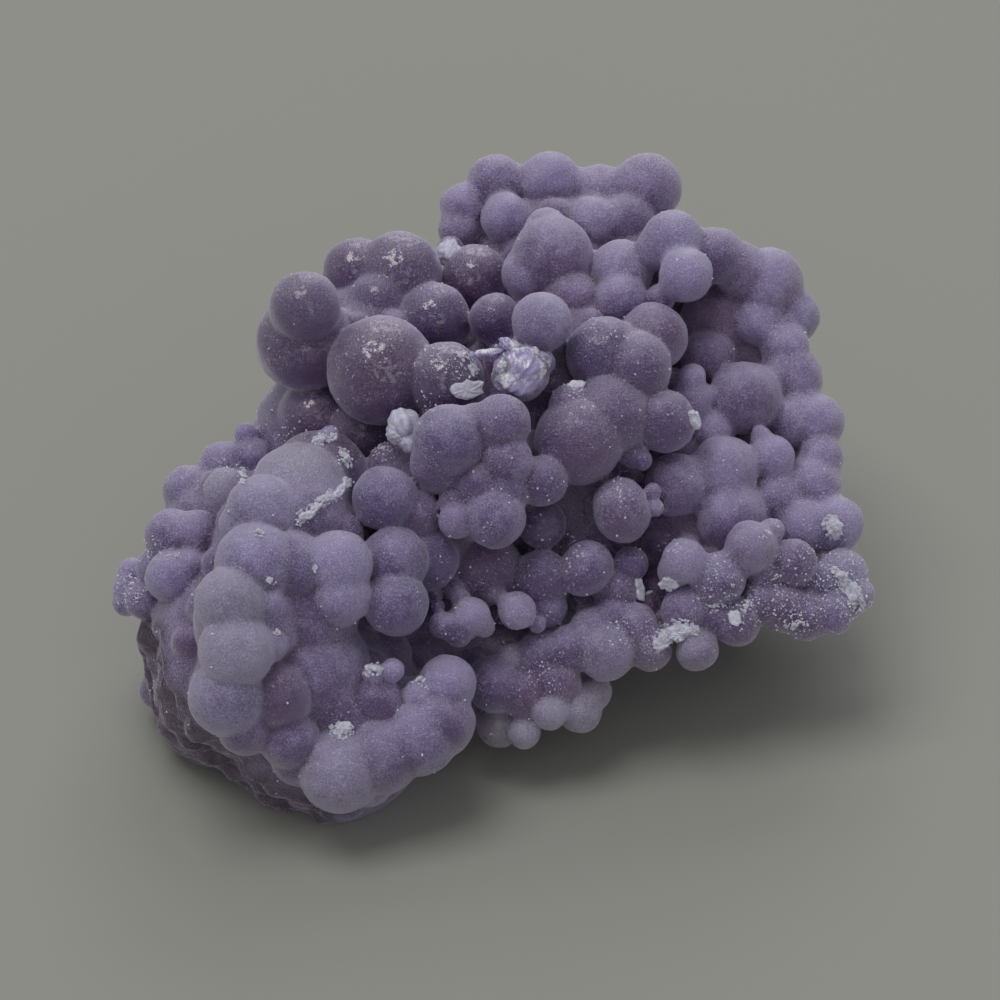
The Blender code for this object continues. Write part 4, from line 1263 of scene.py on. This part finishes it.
@dataclass
class WhiteCrumbs:
    """The white knobs, the flakes and crusts of white chips, and the crumpled shell.

    Attributes:
        plane: The facing plane.
        skin: The skin they lie on.
        rings: Rings of a lump's grid.
        sides: Sides of a lump's grid.
        waves: Waves that make a lump uneven.
        knob_shape: Roughness of the knobs, and how often their finest wave comes.
        crust_shape: The same for lumps of crust.
        shell_shape: The same for the shell.
        plate_sides: Sides of a flake's outline.
        plate_lift: How far a flake stands out of the skin, as a share of its thickness.
        facing: How far flakes turn towards the viewer.
        chip_jag: How far a chip's corners move, as a share of its size.
        chip_lean: How far chips lean.
        seed: Chooses all that varies.
    """

    plane: ViewPlane
    skin: SkinField
    rings: int = 40
    sides: int = 64
    waves: int = 16
    knob_shape: tuple[float, float] = (0.07, 11)
    crust_shape: tuple[float, float] = (0.13, 11)
    shell_shape: tuple[float, float] = (0.07, 5)
    plate_sides: int = 22
    plate_lift: float = 0.3
    facing: float = 0.6
    chip_jag: float = 0.25
    chip_lean: float = 0.35
    seed: int = 7

    def lump(
        self,
        centre: np.ndarray,
        frame: np.ndarray,
        roughness: float,
        finest: float,
        ridged: bool,
        seed: int,
    ) -> tuple[np.ndarray, np.ndarray]:
        """One lump.

        With u round the lump and v from pole to pole, a corner is centre + h * (sin v cos u, sin v sin u,
        cos v) in the lump's frame, where h is 1, raised and lowered by a few waves in three directions. A
        ridged lump takes each wave as 1 - 2 * |wave|, which gives it sharp creased ridges.

        Args:
            centre: Middle of the lump in mm.
            frame: Its three half axes as rows, in mm.
            roughness: Size of the waves.
            finest: How often the finest wave comes on the lump.
            ridged: Whether the waves are creased.
            seed: Chooses the waves.

        Returns:
            Corners and triangles.
        """
        random = np.random.default_rng(seed)
        v = np.linspace(0, math.pi, self.rings + 2)[1:-1]
        u = np.linspace(0, 2 * math.pi, self.sides, endpoint=False)
        v, u = (grid.ravel() for grid in np.meshgrid(v, u, indexing="ij"))
        out = np.stack((np.sin(v) * np.cos(u), np.sin(v) * np.sin(u), np.cos(v)), axis=1)
        out = np.vstack((out, (0, 0, 1), (0, 0, -1)))
        waves = random.normal(0, 1, (self.waves, 3)) * np.linspace(1.5, finest, self.waves)[:, None]
        rise = np.sin(out @ waves.T + random.uniform(0, 6.3, self.waves))
        if ridged:
            rise = 1 - 2 * np.abs(rise)
        size = np.linspace(1.0, 0.25, self.waves) * roughness
        height = 1 + (size * rise).sum(axis=1) * 0.5
        return centre + (out * height[:, None]) @ frame, closed_grid(self.rings, self.sides)

    def knobs(self) -> list[tuple[np.ndarray, np.ndarray]]:
        """The round knob beside the near cluster, and the white grape at the crest's left end."""
        centres, radii = self.plane.placed(CRUMBS[:3] + [WHITE_GRAPE])
        return [
            self.lump(centre, radius * np.eye(3), *self.knob_shape, False, seed)
            for seed, (centre, radius) in enumerate(zip(centres, radii))
        ]

    def creased(self, rows: Sequence[tuple], roughness: float, finest: float) -> list[tuple]:
        """Crumpled lumps, as for the shell and the thickest crusts."""
        table = np.array(rows)
        centres, _ = self.plane.placed(table[:, :4])
        turn = np.radians(table[:, 6])
        across, rise, near = self.plane.axes()
        parts = []
        for seed, (centre, half, angle) in enumerate(zip(centres, table[:, 3:6], turn)):
            along = math.cos(angle) * across + math.sin(angle) * rise
            frame = np.stack((along, np.cross(near, along), near)) * half[:, None]
            parts.append(self.lump(centre, frame, roughness, finest, True, 20 + seed))
        return parts

    def plates(self, random: np.random.Generator) -> tuple[np.ndarray, np.ndarray]:
        """Thin flakes with ragged edges, bedded in the skin that they grew on.

        A corner on ring k and side j is centre + reach_k * r_j * (cos, sin) + level_k * outward, where r_j
        is 1, raised and lowered at random, and the rings run over the top and down the edge.
        """
        table = np.array(FLAKES)
        points, outward = self.skin.met(self.plane, table[:, :2])
        turn = np.radians(table[:, 5:6])
        across, rise, near = self.plane.axes()
        outward = unit(outward + self.facing * near)
        frames = frames_on(outward, np.cos(turn) * across + np.sin(turn) * rise) * table[:, 2:5, None]
        reach, level = np.array([0.35, 0.75, 1.0, 1.0, 0.9]), np.array([1.0, 1.0, 0.7, -0.4, -1.0])
        angles = np.linspace(0, 2 * math.pi, self.plate_sides, endpoint=False)
        parts = []
        for point, frame in zip(points, frames):
            ragged = 1 + random.uniform(-0.22, 0.14, self.plate_sides)
            ragged += 0.12 * np.sin(2 * angles + random.uniform(0, 6))
            ring = reach[:, None] * ragged
            lift = level[:, None] + random.uniform(-0.2, 0.2, ring.shape) * (level[:, None] > 0)
            corners = np.stack((ring * np.cos(angles), ring * np.sin(angles), lift), axis=2).reshape(-1, 3)
            corners = np.vstack((corners, (0, 0, 1.05), (0, 0, -1)))
            corners = point + (corners + (0, 0, self.plate_lift)) @ frame
            parts.append((corners, closed_grid(len(reach), self.plate_sides)))
        return joined(parts)

    def crusts(self, random: np.random.Generator) -> tuple[np.ndarray, np.ndarray]:
        """Small chips, heaped in each patch and smaller towards its edge."""
        parts = []
        for across, rise, wide, high, turn, count, largest in CHIP_PATCHES:
            angle, out = random.uniform(0, 2 * math.pi, count), random.uniform(0, 1, count) ** 0.6
            x, y = wide * out * np.cos(angle), high * out * np.sin(angle)
            cosine, sine = math.cos(math.radians(turn)), math.sin(math.radians(turn))
            size = 0.35 + 0.65 * random.uniform(0, 1, count) * (1.1 - out)
            places = (across + x * cosine - y * sine, rise + x * sine + y * cosine)
            parts.append(np.column_stack((*places, largest * size)))
        spots = np.vstack(parts)
        points, outward = self.skin.met(self.plane, spots[:, :2])
        found = self.skin.on_skin(points)
        points, outward, spots = points[found], outward[found], spots[found]
        size = spots[:, 2]
        shape = random.uniform(0.6, 1.2, (len(spots), 3)) * (1, 1, 0.7)
        axes = unit(outward + random.normal(0, self.chip_lean, (len(spots), 3)))
        frames = frames_on(axes, random.normal(0, 1, (len(spots), 3))) * (shape * size[:, None])[:, :, None]
        heap = size * random.uniform(0.0, 0.9, len(spots))
        return chips(points + outward * heap[:, None], frames, self.chip_jag, random)

    def build(self) -> None:
        """Makes the smooth knobs, the crusts of chips and flakes, and the crumpled shell."""
        random = np.random.default_rng(self.seed)
        knob = WhiteCrust((0.70, 0.70, 0.92, 1), (0.52, 0.49, 0.56, 1))
        self.piece("white_knobs", joined(self.knobs()), knob.material(), True)
        heaps = self.creased(CRUST_LUMPS, *self.crust_shape)
        crust = joined((self.plates(random), self.crusts(random), *heaps))
        self.piece("white_crust", crust, WhiteCrust().material(), False)
        shell = joined(self.creased(SHELL_LUMPS, *self.shell_shape))
        self.piece("frosted_shell", shell, FrostedShell().material(), True)

    @staticmethod
    def piece(name: str, parts: tuple, finish: bpy.types.Material, smooth: bool) -> None:
        """Puts one mesh in the scene, shaded smooth or with sharp facets."""
        data = mesh_of(name, *parts)
        if not smooth:
            data.shade_flat()
        dressed(data, finish)
        log.info("%s: %d faces", name, len(parts[1]))


@dataclass
class SugarCrystals:
    """Tiny six-sided quartz points, crowded in some patches and strewn thinly over the whole skin.

    Attributes:
        plane: The facing plane.
        skin: The skin they stand on.
        strewn: How many directions are tried for the crystals all round.
        width: Narrowest and widest crystal, in mm.
        slimness: Length as a share of the width.
        lean: How far crystals lean away from upright.
        prism_sides: Sides of a crystal.
        levels: Heights of its foot and its shoulder, when its tip is at 1.
        lowest: The steepest downward direction tried.
        reaches: Nearest and farthest place tried along each direction, in mm.
        seed: Chooses all that varies.
    """

    plane: ViewPlane
    skin: SkinField
    strewn: int = 2600
    width: tuple[float, float] = (0.025, 0.075)
    slimness: float = 1.4
    lean: float = 0.45
    prism_sides: int = 6
    levels: tuple[float, float] = (-0.6, 0.35)
    lowest: float = -0.35
    reaches: tuple[float, float] = (2, 38)
    seed: int = 5

    def point(self) -> tuple[np.ndarray, np.ndarray]:
        """One crystal of width 1: a ring at its foot, a ring at its shoulder, and its tip."""
        count = self.prism_sides
        turns = np.arange(count) * 2 * math.pi / count
        ring = np.stack((np.cos(turns), np.sin(turns)), axis=1)
        foot, shoulder = (np.column_stack((ring, np.full(count, height))) for height in self.levels)
        corners = np.vstack((foot, shoulder, (0, 0, 1.0)))
        here = np.arange(count)
        after = (here + 1) % count
        lower = np.stack((here, after, after + count), axis=1)
        upper = np.stack((here, after + count, here + count), axis=1)
        tips = np.stack((here + count, after + count, np.full(count, 2 * count)), axis=1)
        return corners, np.vstack((lower, upper, tips))

    def spots(self, random: np.random.Generator) -> np.ndarray:
        """Across and rise of the crystals in the patches, thicker towards each patch's middle."""
        parts = []
        for across, rise, reach, count in SUGAR_PATCHES:
            turn = random.uniform(0, 2 * math.pi, count)
            out = reach * random.uniform(0, 1, count) ** 0.7
            parts.append(np.column_stack((across + out * np.cos(turn), rise + out * np.sin(turn))))
        return np.vstack(parts)

    def all_round(self, random: np.random.Generator) -> tuple[np.ndarray, np.ndarray]:
        """Places on every side of the skin: where lines from outside towards its middle first meet it."""
        directions = HiddenCrust.spiral(self.strewn)
        directions = directions[directions[:, 2] > self.lowest] + random.normal(0, 0.05, (1, 3))
        middle = 0.5 * (self.skin.low + self.skin.high) * (1, 1, 0.6)
        middle = middle + random.normal(0, 3.0, (len(directions), 3)) * (1, 1, 0.3)
        reaches = np.arange(*self.reaches, self.skin.march)
        return self.skin.hit(middle, unit(directions), reaches, 0.0)

    def build(self) -> None:
        """Stands a crystal on each place, a little askew."""
        random = np.random.default_rng(self.seed)
        crowded, strewn = self.skin.met(self.plane, self.spots(random)), self.all_round(random)
        places, outward = np.vstack((crowded[0], strewn[0])), np.vstack((crowded[1], strewn[1]))
        found = self.skin.on_skin(places)
        places, outward = places[found], outward[found]
        count = len(places)
        axes = unit(outward + random.normal(0, self.lean, (count, 3)))
        width = self.width[0] + (self.width[1] - self.width[0]) * random.uniform(0, 1, count) ** 2
        scale = np.stack((width, width, width * self.slimness * random.uniform(0.8, 1.6, count)), axis=1)
        frames = frames_on(axes, random.normal(0, 1, (count, 3))) * scale[:, :, None]
        corners, sides = self.point()
        points = places[:, None] + corners @ frames
        faces = sides + (np.arange(count) * len(corners))[:, None, None]
        data = mesh_of("sugar_crystals", points.reshape(-1, 3), faces.reshape(-1, 3))
        data.shade_flat()
        dressed(data, SugarQuartz().material())
        log.info("sugar: %d crystals", count)


def closed_grid(rings: int, sides: int) -> np.ndarray:
    """Triangles of a ball-like grid of rings, with its two poles as the last two corners."""
    grids = np.meshgrid(np.arange(rings - 1), np.arange(sides), indexing="ij")
    ring, side = (grid.ravel() for grid in grids)
    after = (side + 1) % sides
    a, b = ring * sides + side, ring * sides + after
    c, d = a + sides, b + sides
    body = np.vstack((np.stack((a, c, d), axis=1), np.stack((a, d, b), axis=1)))
    around = np.arange(sides)
    top = np.full(sides, rings * sides)
    last = (rings - 1) * sides
    upper = np.stack((top, around, (around + 1) % sides), axis=1)
    lower = np.stack((top + 1, last + (around + 1) % sides, last + around), axis=1)
    return np.vstack((body, upper, lower))


def joined(parts: Iterable[tuple[np.ndarray, np.ndarray]]) -> tuple[np.ndarray, np.ndarray]:
    """Several meshes, each as corners and faces, as one."""
    points, faces, count = [], [], 0
    for corners, sides in parts:
        points.append(corners)
        faces.append(sides + count)
        count += len(corners)
    return np.vstack(points), np.vstack(faces)


# Soft lights as (name, place in mm, width in mm, watts, colour).
SOFTBOXES = [
    ("overhead", (-120, -60, 520), 300, 0.95, (1.0, 0.99, 0.97)),
    ("front", (80, -420, 280), 400, 0.26, (1.0, 0.99, 0.98)),
    ("behind", (60, 400, 330), 360, 0.50, (1.0, 1.0, 1.0)),
]


@dataclass
class Studio:
    """Camera, lights and table."""

    plane: ViewPlane
    sensor: float = 36.0
    table_reach: float = 900.0
    air: Colour = (0.80, 0.82, 0.85, 1)
    air_strength: float = 0.32

    def camera(self) -> None:
        """A camera at the viewer's place that frames the plane's picture width."""
        data = bpy.data.cameras.new("camera")
        data.sensor_width = self.sensor
        data.lens = self.sensor * self.plane.distance / self.plane.picture_width
        data.clip_start = 0.01
        item = in_scene("camera", data)
        toward = Vector(self.plane.axes()[2])
        item.location = Vector(self.plane.eye()) * MM
        item.rotation_euler = toward.to_track_quat("Z", "Y").to_euler()
        bpy.context.scene.camera = item

    def table(self) -> None:
        """The table, which isn't part of the object."""
        reach = self.table_reach
        points = reach * np.array([(-1, -1, 0), (1, -1, 0), (1, 1, 0), (-1, 1, 0)])
        data = mesh_of("table", points, np.array([(0, 1, 2, 3)]))
        data.materials.append(PaleTable().material())
        in_scene("table", data)

    def softbox(self, name: str, place: tuple, size: float, watts: float, colour: tuple) -> None:
        """A square soft light that looks at the specimen."""
        data = bpy.data.lights.new(name, "AREA")
        data.size = size * MM
        data.energy = watts
        data.color = colour
        item = in_scene(name, data)
        item.location = Vector(place) * MM
        item.rotation_euler = (Vector(place) - Vector((0, 0, 12))).to_track_quat("Z", "Y").to_euler()

    def build(self) -> None:
        """Sets up the table and the light."""
        self.table()
        for softbox in SOFTBOXES:
            self.softbox(*softbox)
        world = bpy.data.worlds.new("soft_surroundings")
        world.use_nodes = True
        background = world.node_tree.nodes["Background"]
        background.inputs["Color"].default_value = self.air
        background.inputs["Strength"].default_value = self.air_strength
        bpy.context.scene.world = world
        bpy.context.scene.view_settings.view_transform = "Standard"


def main() -> None:
    """Builds the scene in order."""
    logging.basicConfig(level=logging.INFO, format="%(name)s: %(message)s")
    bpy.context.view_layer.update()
    plane = ViewPlane()
    studio = Studio(plane)
    studio.camera()
    skin = Crust(plane).build()
    WhiteCrumbs(plane, skin).build()
    SugarCrystals(plane, skin).build()
    studio.build()


if __name__ == "__main__":
    main()
